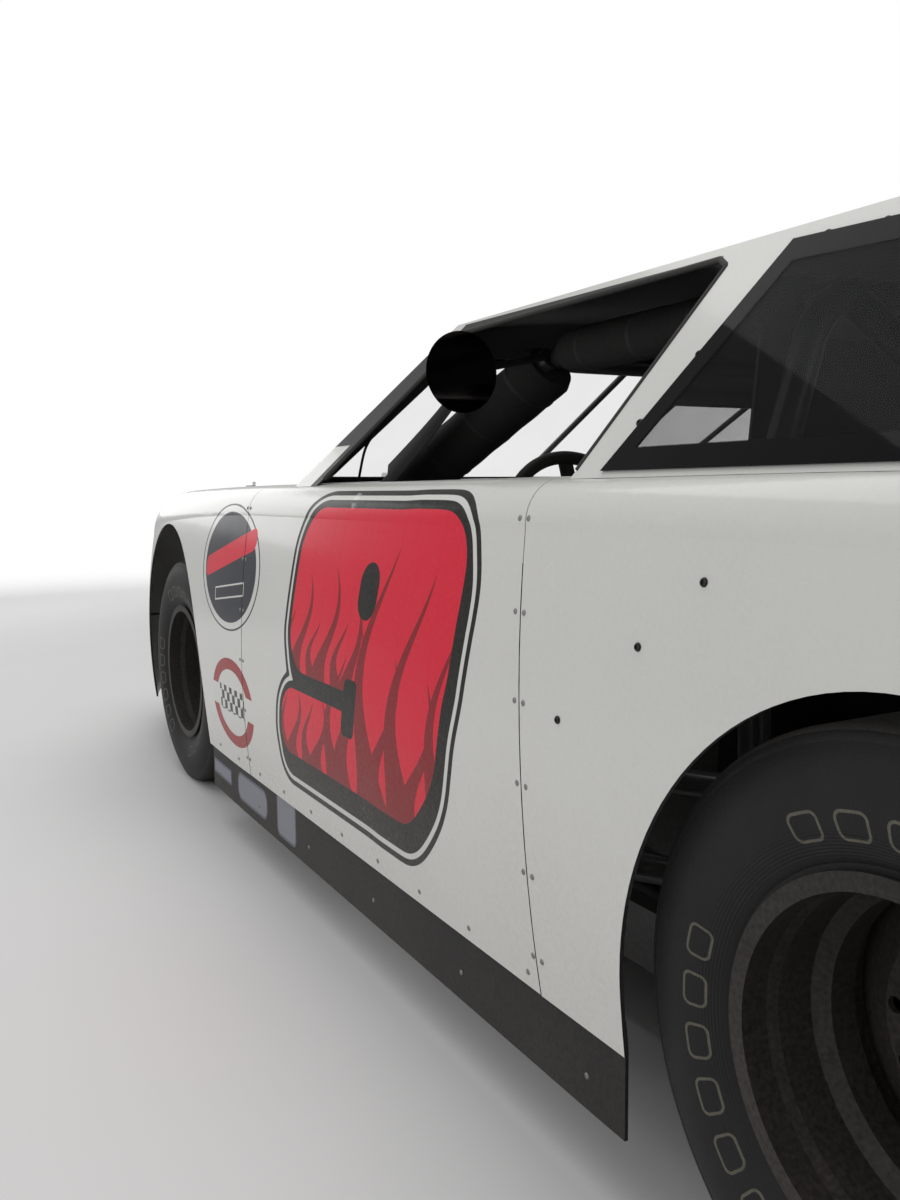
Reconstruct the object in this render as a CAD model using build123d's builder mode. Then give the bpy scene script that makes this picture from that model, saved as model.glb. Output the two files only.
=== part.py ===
from build123d import *
import os
from math import cos, radians, sin

# Stock car for asphalt ovals, with a moulded body on a tube chassis
# Lengths are in millimetres: X to the car's left, Y to its tail, Z up from the floor

# Overall sizes
LENGTH = 4930.0
HALF_WIDTH = 985.0
WHEELBASE = 2621.0
FRONT_AXLE = -1358.0
REAR_AXLE = FRONT_AXLE + WHEELBASE
NOSE_TIP = -LENGTH / 2
TAIL_TIP = LENGTH / 2
BELT = 916.0
SILL = 219.0
SKIN = 6.0
GAP = 3.0
LID_GAP = 5.5
SEAT_GAP = 0.3
RUNNING_FIT = 0.05

# Seams between the body panels
FENDER_SEAM = -528.0
DOOR_SEAM_TOP = 665.0
DOOR_SEAM_FOOT = 739.0
NOSE_SEAM = -1950.0
NOSE_SIDE_SEAM = -1830.0
NOSE_SEAM_HEIGHT = 500.0
TAIL_SEAM = 2250.0
HOOD_HALF = 700.0
HOOD_REAR = -640.0
DECK_HALF = 690.0
DECK_FRONT = 1790.0
CABIN_HALF = 880.0
CABIN_FRONT_CORNER = -300.0
CABIN_FRONT_CENTRE = -515.0
CABIN_REAR = 1640.0

# Wheel arches: middle, half of the span, springing height and rise
FRONT_ARCH = (-1370.0, 475.0, 250.0, 552.0)
REAR_ARCH = (1285.0, 371.0, 293.0, 430.0)

# Body stations from the nose to the tail. Columns: place along the car, how much narrower
# than the widest station, belt below BELT, crown over the belt, shoulder radius,
# foot above SILL. Stations past a stretch's end only lead its surface straight through there
NOSE_STATIONS = [
    (NOSE_TIP, 410.0, 436.0, 24.0, 62.0, -70.0),
    (NOSE_TIP + 75.0, 300.0, 341.0, 34.0, 90.0, -72.0),
    (NOSE_TIP + 225.0, 200.0, 216.0, 38.0, 108.0, -70.0),
    (NOSE_TIP + 475.0, 114.0, 96.0, 32.0, 112.0, -55.0),
    (-1650.0, 44.0, 28.0, 24.0, 104.0, -25.0),
    (-1250.0, 16.0, 11.0, 18.0, 88.0, 0.0),
    (-880.0, 6.0, 6.0, 15.0, 76.0, 0.0),
    (FENDER_SEAM, 2.0, 3.0, 14.0, 70.0, 0.0),
    (-176.0, 1.0, 2.0, 14.0, 70.0, 0.0),
    (176.0, 0.0, 0.0, 15.0, 70.0, 0.0),
]
DOOR_STATIONS = [
    (FENDER_SEAM, 2.0, 3.0, 14.0, 70.0, 0.0),
    (800.0, 0.0, 0.0, 16.0, 70.0, 0.0),
]
TAIL_STATIONS = [
    (-200.0, 0.0, 0.0, 16.0, 70.0, 0.0),
    (150.0, 0.0, 0.0, 16.0, 70.0, 0.0),
    (500.0, 0.0, 0.0, 16.0, 70.0, 0.0),
    (850.0, 0.0, 0.0, 16.0, 70.0, 0.0),
    (1200.0, 3.0, -3.0, 17.0, 74.0, 0.0),
    (1600.0, 15.0, -6.0, 19.0, 80.0, 0.0),
    (1950.0, 44.0, -7.0, 20.0, 86.0, 24.0),
    (TAIL_TIP - 285.0, 80.0, -3.0, 20.0, 86.0, 52.0),
    (TAIL_TIP - 105.0, 132.0, 8.0, 20.0, 80.0, 72.0),
    (TAIL_TIP, 215.0, 36.0, 16.0, 66.0, 84.0),
]
# Stretches of the body: stations, front end and rear end
NOSE_STRETCH = (NOSE_STATIONS, NOSE_TIP - 50.0, FENDER_SEAM)
DOOR_STRETCH = (DOOR_STATIONS, FENDER_SEAM, 800.0)
TAIL_STRETCH = (TAIL_STATIONS, 600.0, TAIL_TIP + 50.0)
FLANK_LEAN = 28.0
FOOT_TUCK = 14.0
FLANK_WIDEST = 0.45

# Greenhouse: half width, front corner, front bow, rear corner and rear bow at two heights
GLASS_FOOT = 900.0
ROOF_EDGE = 1205.0
ROOF_CROWN = 1250.0
GREENHOUSE_FOOT = (918.0, -345.0, 205.0, 1620.0, 70.0)
GREENHOUSE_TOP = (745.0, 100.0, 62.0, 1130.0, 40.0)
POST_ROUND = 24.0
SHELL_WALL = 6.0
PANE = 4.0
HEADER = 42.0
POST_WIDTH = 78.0
PANE_LAP = 34.0
SIDE_OPENING = [(-262.0, 860.0), (165.0, 1186.0), (820.0, 1189.0), (840.0, 1176.0), (690.0, 860.0)]
QUARTER_OPENING = [(790.0, 935.0), (957.0, 1176.0), (1120.0, 1168.0), (1470.0, 935.0)]

# Wheels and tyres
TYRE_RADIUS = 343.0
TYRE_HALF_WIDTH = 145.0
TREAD_HALF_WIDTH = 126.0
TYRE_WALL = 12.0
RIM_RADIUS = 190.5
RIM_LIP = 206.0
RIM_HALF_WIDTH = 127.0
RIM_WALL = 4.0
REAR_TRACK = 810.0
FRONT_TRACK = 780.0
HUB_OFFSET = 51.0
LUG_CIRCLE = 127.0
LUG_COUNT = 5
STUD_RADIUS = 7.9
NUT_RADIUS = 13.0
HUB_FLANGE = 78.0
HUB_BARREL = 44.0
ROTOR_RADIUS = 150.0
ROTOR_THICK = 20.0
ROTOR_OFFSET = 98.0
SPINDLE = 22.0
KINGPIN = 610.0
BALL_LOW = 215.0
BALL_HIGH = 480.0
STEER_ARM = 140.0
RACK_HEIGHT = 360.0
RACK_BAR = 12.0
BALL_HOUSING = 14.0

# Frame and cage
RAIL_WIDTH = 51.0
RAIL_HEIGHT = 102.0
RAIL_PLACE = 640.0
RAIL_FOOT = 118.0
CLIP_FRONT_PLACE = 400.0
CLIP_REAR_PLACE = 520.0
CAGE_TUBE = 44.5
BRACE_TUBE = 38.0
CAGE_TOP = 1158.0
HOOP_PLACE = 850.0
HALO_FRONT = 150.0
HALO_HALF = 600.0
LEG_FOOT = -420.0
SHEET = 3.0
FLOOR = RAIL_FOOT + RAIL_HEIGHT + SEAT_GAP + SHEET / 2

# Cabin
SEAT_SIDE = 420.0
WHEEL_CENTRE = (420.0, 60.0, 800.0)
COLUMN_TILT = 20.0


def body_block(stretch, inset, drop):
    """A stretch of the lower body as one solid, taken in by inset, with its foot lowered
    straight down by drop. The closed ends at the nose and the tail are taken in as well."""
    stations, front, rear = stretch
    with BuildPart() as block:
        for place, narrower, lower, crown, shoulder, foot in stations:
            if place == NOSE_TIP:
                place = place + inset
            if place == TAIL_TIP:
                place = place - inset
            half = HALF_WIDTH - narrower - inset
            top = BELT - lower - inset
            base = SILL + foot
            step = shoulder * (1 - cos(radians(45)))
            foot_point = (half - FOOT_TUCK, base)
            wide_point = (half, base + (top - base) * FLANK_WIDEST)
            neck_point = (half - FLANK_LEAN, top - shoulder)
            bend_point = (half - FLANK_LEAN - step, top - step)
            edge_point = (half - FLANK_LEAN - shoulder, top)
            with BuildSketch(Plane.XZ.offset(-place)):
                with BuildLine():
                    Line((half - FOOT_TUCK, base - drop), foot_point)
                    ThreePointArc(foot_point, wide_point, neck_point)
                    ThreePointArc(neck_point, bend_point, edge_point)
                    mirror(about=Plane.YZ)
                    ThreePointArc(edge_point, (0, top + crown), (-edge_point[0], top))
                    Line((FOOT_TUCK - half, base - drop), (half - FOOT_TUCK, base - drop))
                make_face()
        loft()
        with BuildSketch(Plane.XZ.offset(-rear)):
            Rectangle(3 * HALF_WIDTH, 4 * BELT)
        extrude(amount=rear - front, mode=Mode.INTERSECT)
    return block.part


def greenhouse_block(inset):
    """The roof, posts and glass as one solid, taken in by inset."""
    reach = (ROOF_CROWN + 20.0 - GLASS_FOOT) / (ROOF_EDGE - GLASS_FOOT)
    with BuildPart() as block:
        for share in (0.0, reach):
            half, front, front_bow, rear, rear_bow = [
                low + (high - low) * share for low, high in zip(GREENHOUSE_FOOT, GREENHOUSE_TOP)
            ]
            half = half - inset
            front = front + inset
            rear = rear - inset
            height = GLASS_FOOT + (ROOF_EDGE - GLASS_FOOT) * share
            with BuildSketch(Plane.XY.offset(height)) as plan:
                with BuildLine():
                    ThreePointArc((-half, front), (0, front - front_bow), (half, front))
                    Line((half, front), (half, rear))
                    ThreePointArc((half, rear), (0, rear + rear_bow), (-half, rear))
                    Line((-half, rear), (-half, front))
                make_face()
                fillet(plan.vertices(), POST_ROUND)
        loft()
        reach = GREENHOUSE_TOP[0] + 55.0
        crown = ROOF_CROWN - inset
        edge = crown - (ROOF_CROWN - ROOF_EDGE) * (reach / GREENHOUSE_TOP[0]) ** 2
        with BuildSketch(Plane.XZ):
            with BuildLine():
                ThreePointArc((-reach, edge), (0, crown), (reach, edge))
                Polyline((reach, edge), (reach, edge + 200.0), (-reach, edge + 200.0), (-reach, edge))
            make_face()
        extrude(amount=LENGTH, both=True, mode=Mode.SUBTRACT)
    return block.part


def side_slab(outline, inner, outer):
    """A slab with a side-view outline of (y, z) points, from inner to outer in X."""
    with BuildPart() as slab:
        with BuildSketch(Plane.YZ.offset(inner)):
            with BuildLine():
                Polyline(*outline, close=True)
            make_face()
        extrude(amount=outer - inner)
    return slab.part


def front_slab(outline, front, rear):
    """A slab with a front-view outline of (x, z) points, from front to rear in Y."""
    with BuildPart() as slab:
        with BuildSketch(Plane.XZ.offset(-rear)):
            with BuildLine():
                Polyline(*outline, close=True)
            make_face()
        extrude(amount=rear - front)
    return slab.part


def arch_cut(middle, half_span, spring, rise):
    """The space of a pair of wheel arches: half an ellipse on straight legs."""
    with BuildPart() as space:
        with BuildSketch(Plane.YZ):
            with BuildLine():
                over = EllipticalCenterArc((middle, spring), half_span, rise, start_angle=0, arc_size=180)
                Polyline(over @ 1, (middle - half_span, 0), (middle + half_span, 0), over @ 0)
            make_face()
        extrude(amount=HALF_WIDTH + 50, both=True)
    return space.part


def tube(points, diameter, bend=90.0):
    """A round tube along points, with bends of one radius."""
    with BuildPart() as run:
        with BuildLine() as path:
            if len(points) == 2:
                Line(*points)
            else:
                FilletPolyline(*points, radius=bend)
        with BuildSketch(Plane(origin=path.line @ 0, z_dir=path.line % 0)):
            Circle(diameter / 2)
        sweep()
    return run.part


def both_sides(points):
    """The points and their mirror image across the car."""
    return [points, [(-x, y, z) for x, y, z in points]]


def save(part, label):
    """Name a finished piece and write its file."""
    part.label = label
    export_step(part, "parts/" + label + ".step")


os.makedirs("parts", exist_ok=True)

# Body shell in three stretches, before its seams are cut
GRILLE_HEIGHT = 272.0
GRILLE_WIDTH = 860.0
GRILLE_TALL = 170.0
BELOW = 40.0
FOOT_LIP = 1.0
arches = [arch_cut(*FRONT_ARCH), arch_cut(*REAR_ARCH)]
with BuildPart() as nose_shell:
    add(body_block(NOSE_STRETCH, 0.0, FOOT_LIP))
    with BuildSketch(Plane.XZ.offset(-NOSE_TIP + 10.0)):
        with Locations((0, GRILLE_HEIGHT)):
            RectangleRounded(GRILLE_WIDTH, GRILLE_TALL, 40.0)
    extrude(amount=-200.0, mode=Mode.SUBTRACT)
    add(body_block(NOSE_STRETCH, SKIN, BELOW), mode=Mode.SUBTRACT)
    add(arches[0], mode=Mode.SUBTRACT)
with BuildPart() as door_shell:
    add(body_block(DOOR_STRETCH, 0.0, FOOT_LIP))
    add(body_block(DOOR_STRETCH, SKIN, BELOW), mode=Mode.SUBTRACT)
with BuildPart() as tail_shell:
    add(body_block(TAIL_STRETCH, 0.0, FOOT_LIP))
    add(body_block(TAIL_STRETCH, SKIN, BELOW), mode=Mode.SUBTRACT)
    add(arches[1], mode=Mode.SUBTRACT)
body_fit = [
    body_block(stretch, -SEAT_GAP, FOOT_LIP) for stretch in (NOSE_STRETCH, DOOR_STRETCH, TAIL_STRETCH)
]

# Space of the cabin, cut out of the top of the shell
with BuildPart() as cabin_space:
    with BuildSketch(Plane.XY.offset(BELT - 150.0)):
        with BuildLine():
            bow = ThreePointArc(
                (-CABIN_HALF, CABIN_FRONT_CORNER), (0, CABIN_FRONT_CENTRE),
                (CABIN_HALF, CABIN_FRONT_CORNER),
            )
            Polyline(bow @ 1, (CABIN_HALF, CABIN_REAR), (-CABIN_HALF, CABIN_REAR), bow @ 0)
        make_face()
    extrude(amount=400.0)

HIGH = BELT + 200.0
nose_zone = side_slab(
    [
        (NOSE_TIP - 50.0, 0.0), (NOSE_SIDE_SEAM, 0.0), (NOSE_SIDE_SEAM, NOSE_SEAM_HEIGHT - GAP / 2),
        (NOSE_SEAM - GAP / 2, NOSE_SEAM_HEIGHT - GAP / 2), (NOSE_SEAM - GAP / 2, HIGH),
        (NOSE_TIP - 50.0, HIGH),
    ],
    -HALF_WIDTH - 50.0, HALF_WIDTH + 50.0,
)
fender_zone = side_slab(
    [
        (FENDER_SEAM - GAP / 2, 0.0), (FENDER_SEAM - GAP / 2, HIGH), (NOSE_SEAM + GAP / 2, HIGH),
        (NOSE_SEAM + GAP / 2, NOSE_SEAM_HEIGHT + GAP / 2),
        (NOSE_SIDE_SEAM + GAP, NOSE_SEAM_HEIGHT + GAP / 2), (NOSE_SIDE_SEAM + GAP, 0.0),
    ],
    0.0, HALF_WIDTH + 50.0,
)
door_zone = side_slab(
    [
        (FENDER_SEAM + GAP / 2, SILL - 50.0), (FENDER_SEAM + GAP / 2, BELT + 50.0),
        (DOOR_SEAM_TOP - GAP / 2, BELT + 50.0), (DOOR_SEAM_FOOT - GAP / 2, SILL - 50.0),
    ],
    0.0, HALF_WIDTH + 50.0,
)
quarter_zone = side_slab(
    [
        (DOOR_SEAM_FOOT + GAP / 2, SILL - 50.0), (DOOR_SEAM_TOP + GAP / 2, BELT + 50.0),
        (TAIL_SEAM - GAP / 2, BELT + 50.0), (TAIL_SEAM - GAP / 2, SILL - 50.0),
    ],
    0.0, HALF_WIDTH + 50.0,
)
hood_space = front_slab(
    [
        (-HOOD_HALF - LID_GAP, 450), (HOOD_HALF + LID_GAP, 450),
        (HOOD_HALF + LID_GAP, HIGH), (-HOOD_HALF - LID_GAP, HIGH),
    ],
    NOSE_SEAM - GAP, HOOD_REAR + GAP / 2,
)
cowl_space = front_slab(
    [(-CABIN_HALF, 650), (CABIN_HALF, 650), (CABIN_HALF, HIGH), (-CABIN_HALF, HIGH)],
    HOOD_REAR + GAP / 2, DECK_FRONT - GAP / 2,
)
deck_space = front_slab(
    [
        (-DECK_HALF - LID_GAP, 650), (DECK_HALF + LID_GAP, 650),
        (DECK_HALF + LID_GAP, HIGH), (-DECK_HALF - LID_GAP, HIGH),
    ],
    DECK_FRONT - GAP / 2, TAIL_SEAM + GAP / 2,
)

with BuildPart() as nose:
    add(nose_shell.part)
    add(nose_zone, mode=Mode.INTERSECT)

with BuildPart() as fender_left:
    add(nose_shell.part)
    add(fender_zone, mode=Mode.INTERSECT)
    add([hood_space, cowl_space], mode=Mode.SUBTRACT)

with BuildPart() as door_left:
    add(door_shell.part)
    add(door_zone, mode=Mode.INTERSECT)
    add(cowl_space, mode=Mode.SUBTRACT)

with BuildPart() as quarter_left:
    add(tail_shell.part)
    add(quarter_zone, mode=Mode.INTERSECT)
    add([cowl_space, deck_space], mode=Mode.SUBTRACT)

with BuildPart() as tail_cover:
    add(tail_shell.part)
    with BuildSketch(Plane.XZ.offset(-TAIL_SEAM - GAP / 2)):
        Rectangle(3 * HALF_WIDTH, 4 * BELT)
    extrude(amount=-400.0, mode=Mode.INTERSECT)


def top_panel(shell, half, front, rear):
    """The top of the body between two places, out to a half width."""
    with BuildPart() as panel:
        add(shell)
        outline = [(-half, 450), (half, 450), (half, HIGH), (-half, HIGH)]
        add(front_slab(outline, front, rear), mode=Mode.INTERSECT)
    return panel.part


# Lid hinges: pins between lugs on the fillers turn in eyes on the lids. Columns: place of the
# pin, its height, which way the filler lies, height at which the plates enter the skin
HINGE_HALF = 520.0
HINGE_PIN = 5.0
HINGE_ROUND = 8.0
HINGE_REACH = 48.0
EYE_WIDTH = 30.0
LUG_WIDTH = 12.0
LUG_GAP = 1.0
PIN_LENGTH = EYE_WIDTH + 2 * LUG_GAP + 2 * LUG_WIDTH
LUG_OFFSET = (PIN_LENGTH - LUG_WIDTH) / 2
HOOD_HINGE = (-652.0, 936.0, 1.0, 917.5)
DECK_HINGE = (1802.0, 950.0, -1.0, 931.0)


def hinge_plate(across, width, pin_place, pin_height, reach, skin, undercut):
    """An upright plate with a round eye at the pin, standing in the skin away from the pin."""
    step = reach / HINGE_REACH
    outline = [
        (pin_place, pin_height + HINGE_ROUND), (pin_place, pin_height - HINGE_ROUND),
        (pin_place + undercut * step, pin_height - HINGE_ROUND), (pin_place + undercut * step, skin),
        (pin_place + reach, skin), (pin_place + reach, skin + HINGE_ROUND),
        (pin_place + 2 * HINGE_ROUND * step, pin_height + HINGE_ROUND),
    ]
    with BuildPart() as plate:
        add(side_slab(outline, across - width / 2, across + width / 2))
        with Locations((across, pin_place, pin_height)):
            Cylinder(HINGE_ROUND, width, rotation=(0, 90, 0))
    return plate.part


with BuildPart() as hinge_lugs:
    for pin_place, pin_height, filler, skin in (HOOD_HINGE, DECK_HINGE):
        for side in (1, -1):
            for offset in (LUG_OFFSET, -LUG_OFFSET):
                across = side * HINGE_HALF + offset
                reach = filler * HINGE_REACH
                add(hinge_plate(across, LUG_WIDTH, pin_place, pin_height, reach, skin, 17.0))
            with Locations((side * HINGE_HALF, pin_place, pin_height)):
                Cylinder(HINGE_PIN, PIN_LENGTH, rotation=(0, 90, 0))


def hinged_lid(panel, hinge):
    """A lid with the eyes of its two hinges."""
    pin_place, pin_height, filler, skin = hinge
    with BuildPart() as lid:
        add(panel)
        for side in (1, -1):
            across = side * HINGE_HALF
            reach = -filler * HINGE_REACH
            add(hinge_plate(across, EYE_WIDTH, pin_place, pin_height, reach, skin, 1.0))
            with Locations((across, pin_place, pin_height)):
                Cylinder(HINGE_PIN + RUNNING_FIT, EYE_WIDTH, rotation=(0, 90, 0), mode=Mode.SUBTRACT)
    return lid.part


hood_panel = top_panel(nose_shell.part, HOOD_HALF, NOSE_SEAM + LID_GAP, HOOD_REAR - LID_GAP)
hood = hinged_lid(hood_panel, HOOD_HINGE)
deck_panel = top_panel(tail_shell.part, DECK_HALF, DECK_FRONT + LID_GAP, TAIL_SEAM - LID_GAP)
deck_lid = hinged_lid(deck_panel, DECK_HINGE)

# Fillers below the windshield and the rear window
with BuildPart() as cowl_panels:
    add(top_panel(nose_shell.part, CABIN_HALF - SEAT_GAP, HOOD_REAR + GAP, FENDER_SEAM))
    add(top_panel(door_shell.part, CABIN_HALF - SEAT_GAP, FENDER_SEAM, CABIN_FRONT_CORNER))
    add(top_panel(tail_shell.part, CABIN_HALF - SEAT_GAP, CABIN_REAR, DECK_FRONT - GAP))
    add(cabin_space.part, mode=Mode.SUBTRACT)
    add(hinge_lugs.part)

save(nose.part, "nose")
save(tail_cover.part, "tail_cover")
save(cowl_panels.part, "cowl_panels")
save(hood, "hood")
save(deck_lid, "deck_lid")
for side_name, panel in (("fender", fender_left), ("door", door_left), ("quarter", quarter_left)):
    save(panel.part, side_name + "_left")
    with BuildPart() as right_panel:
        mirror(panel.part, about=Plane.YZ)
    save(right_panel.part, side_name + "_right")

# Rocker skirts below the doors, seated inside the feet of the body panels
SKIRT_FOOT = 105.0
SKIRT_TOP = SILL + 40.0
SKIRT_WALL = 5.0
SKIRT_FRONT = FRONT_ARCH[0] + FRONT_ARCH[1] + 6.0
SKIRT_REAR = REAR_ARCH[0] - REAR_ARCH[1] - 6.0
with BuildPart() as skirts:
    for stretch, front, rear in (
        (NOSE_STRETCH, SKIRT_FRONT, FENDER_SEAM), (DOOR_STRETCH, FENDER_SEAM, DOOR_SEAM_FOOT),
        (TAIL_STRETCH, DOOR_SEAM_FOOT, SKIRT_REAR),
    ):
        outer = body_block(stretch, SKIN + SEAT_GAP, SILL - SKIRT_FOOT)
        inner = body_block(stretch, SKIN + SEAT_GAP + SKIRT_WALL, SILL - SKIRT_FOOT + FOOT_LIP)
        outline = [
            (-HALF_WIDTH, SKIRT_FOOT), (HALF_WIDTH, SKIRT_FOOT),
            (HALF_WIDTH, SKIRT_TOP), (-HALF_WIDTH, SKIRT_TOP),
        ]
        add((outer - inner) & front_slab(outline, front, rear))
save(skirts.part, "skirts")

# Roof shell with its posts
with BuildPart() as roof_shell:
    add(greenhouse_block(0.0))
    add(greenhouse_block(SHELL_WALL), mode=Mode.SUBTRACT)
    add(body_fit, mode=Mode.SUBTRACT)
    add(side_slab(SIDE_OPENING, -HALF_WIDTH, HALF_WIDTH), mode=Mode.SUBTRACT)
    add(side_slab(QUARTER_OPENING, -HALF_WIDTH, HALF_WIDTH), mode=Mode.SUBTRACT)
    for front, rear in ((-LENGTH / 4, 380.0), (900.0, LENGTH / 2)):
        foot_half = GREENHOUSE_FOOT[0] - POST_WIDTH
        top_half = GREENHOUSE_TOP[0] - POST_WIDTH
        slope = (foot_half - top_half) / (ROOF_EDGE - GLASS_FOOT)
        opening_top = ROOF_EDGE - HEADER
        opening_foot = GLASS_FOOT - 60.0
        outline = [
            (-foot_half - 60.0 * slope, opening_foot), (foot_half + 60.0 * slope, opening_foot),
            (top_half + HEADER * slope, opening_top), (-top_half - HEADER * slope, opening_top),
        ]
        add(front_slab(outline, front, rear), mode=Mode.SUBTRACT)
save(roof_shell.part, "roof_shell")

# Panes of clear plastic laid over the openings
pane_outer = greenhouse_block(-PANE - SEAT_GAP)
pane_inner = greenhouse_block(-SEAT_GAP)
pane_layer = pane_outer - pane_inner
for block in body_fit:
    pane_layer = pane_layer - block


def end_pane(front, rear):
    """A pane lapped over the posts and header of the front or rear opening."""
    slope = (GREENHOUSE_FOOT[0] - GREENHOUSE_TOP[0]) / (ROOF_EDGE - GLASS_FOOT)
    half_low = GREENHOUSE_FOOT[0] - POST_WIDTH + PANE_LAP
    top = ROOF_EDGE - HEADER + 24.0
    outline = [
        (-half_low, GLASS_FOOT), (half_low, GLASS_FOOT),
        (half_low - (top - GLASS_FOOT) * slope, top), (-half_low + (top - GLASS_FOOT) * slope, top),
    ]
    with BuildPart() as pane:
        add(pane_layer)
        add(front_slab(outline, front, rear), mode=Mode.INTERSECT)
    return pane.part


windshield = end_pane(-LENGTH / 4, 380.0)
save(windshield, "windshield")
rear_window = end_pane(900.0, LENGTH / 2)
save(rear_window, "rear_window")
QUARTER_PANE = [(778.0, 921.0), (948.0, 1188.0), (1128.0, 1180.0), (1500.0, 921.0)]
with BuildPart() as quarter_windows:
    add(pane_layer)
    add(side_slab(QUARTER_PANE, -HALF_WIDTH, HALF_WIDTH), mode=Mode.INTERSECT)
save(quarter_windows.part, "quarter_windows")

# Exhaust pipes, which pass through the front crossmember
PIPE = 76.0
PIPE_HEIGHT = 178.0
pipe_runs = both_sides(
    [
        (255.0, -1130.0, 400.0), (330.0, -1040.0, 300.0), (330.0, -900.0, PIPE_HEIGHT),
        (330.0, 500.0, PIPE_HEIGHT),
    ]
)

# Frame: perimeter rails, front and rear clips, crossmembers and mounts, welded as one
RAIL_TOP = RAIL_FOOT + RAIL_HEIGHT
ENGINE_HALF = 260.0
GEARBOX_FOOT = 260.0
RACK_BLOCK = 150.0
TOW_WALL = 12.0
TOW_REACH = 70.0
TOW_BORE = 18.0
CLIP_FRONT_LINE = [(-2180.0, 330.0), (-1850.0, 330.0), (-1700.0, 300.0), (-1000.0, 300.0), (-800.0, 169.0)]
CLIP_REAR_LINE = [(800.0, 169.0), (980.0, 470.0), (1560.0, 470.0), (1720.0, 330.0), (2200.0, 330.0)]
# Flat bars from the frame and the cage to the inside of the body panels
# Columns: body stretch, place, height, start in X
FRAME_BARS = ((TAIL_STRETCH, 2050.0, 340.0, 530.0),)
STAY_BARS = ((NOSE_STRETCH, -1880.0, 468.0, 425.0), (NOSE_STRETCH, -600.0, 716.0, 640.0))
CAGE_BARS = (
    (DOOR_STRETCH, -60.0, 610.0, 812.0), (DOOR_STRETCH, 430.0, 610.0, 812.0),
    (TAIL_STRETCH, 815.0, 700.0, 672.0),
)


def panel_bars(bars):
    made = []
    for stretch, place, height, start in bars:
        inside = body_block(stretch, SKIN + SEAT_GAP, BELOW)
        for side in (1, -1):
            bar = Box(HALF_WIDTH - start, 30.0, 6.0, mode=Mode.PRIVATE)
            made.append((Pos(side * (start + HALF_WIDTH) / 2, place, height) * bar) & inside)
    return made


with BuildPart() as frame_rails:
    for side in (1, -1):
        with Locations((side * RAIL_PLACE, 0, RAIL_FOOT + RAIL_HEIGHT / 2)):
            Box(RAIL_WIDTH, 1651.0, RAIL_HEIGHT)
        for place, line in ((CLIP_FRONT_PLACE, CLIP_FRONT_LINE), (CLIP_REAR_PLACE, CLIP_REAR_LINE)):
            with BuildSketch(Plane.YZ.offset(side * place)):
                with BuildLine():
                    Polyline(*line)
                trace(line_width=76.0)
            extrude(amount=RAIL_WIDTH / 2, both=True)
    for place in (-800.0, 800.0):
        with Locations((0, place, RAIL_FOOT + RAIL_HEIGHT / 2)):
            Box(2 * RAIL_PLACE + RAIL_WIDTH, RAIL_WIDTH, RAIL_HEIGHT)
    for place, half, height in (
        (-2140.0, CLIP_FRONT_PLACE, 330.0), (FRONT_AXLE - STEER_ARM, CLIP_FRONT_PLACE, 300.0),
        (1760.0, CLIP_REAR_PLACE, 330.0), (2160.0, CLIP_REAR_PLACE, 330.0),
    ):
        with Locations((0, place, height)):
            Box(2 * half, RAIL_WIDTH, 60.0)
    for side in (1, -1):
        with Locations((side * RACK_BLOCK, FRONT_AXLE - STEER_ARM, RACK_HEIGHT - 6.0)):
            Box(60.0, RAIL_WIDTH, 60.0)
        with Locations((side * RACK_BLOCK, FRONT_AXLE - STEER_ARM, RACK_HEIGHT)):
            Cylinder(RACK_BAR + RUNNING_FIT, 70.0, rotation=(0, 90, 0), mode=Mode.SUBTRACT)
    for place, reach in ((-2140.0, -1.0), (2160.0, 1.0)):
        with Locations((0, place + reach * (RAIL_WIDTH / 2 + TOW_REACH / 2), 330.0)):
            Box(60.0, TOW_REACH, TOW_WALL)
        with Locations((0, place + reach * (RAIL_WIDTH / 2 + TOW_REACH - 30.0), 330.0)):
            Cylinder(TOW_BORE, TOW_WALL, mode=Mode.SUBTRACT)
    for side in (1, -1):
        with Locations((side * (CLIP_FRONT_PLACE + 12.0), FRONT_AXLE, 430.0)):
            Box(24.0, 240.0, 210.0)
        with Locations((side * (ENGINE_HALF + SEAT_GAP), FRONT_AXLE + 70.0, 320.0)):
            Box(
                CLIP_FRONT_PLACE - ENGINE_HALF, 50.0, 30.0,
                align=(Align.MIN if side > 0 else Align.MAX, Align.CENTER, Align.CENTER),
            )
    with Locations((0, -800.0, RAIL_TOP)):
        Box(
            80.0, RAIL_WIDTH, GEARBOX_FOOT - SEAT_GAP - RAIL_TOP,
            align=(Align.CENTER, Align.CENTER, Align.MIN),
        )
    add(panel_bars(FRAME_BARS))
    add([tube(run, PIPE + 12.0) for run in pipe_runs], mode=Mode.SUBTRACT)
save(frame_rails.part, "frame_rails")

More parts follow.
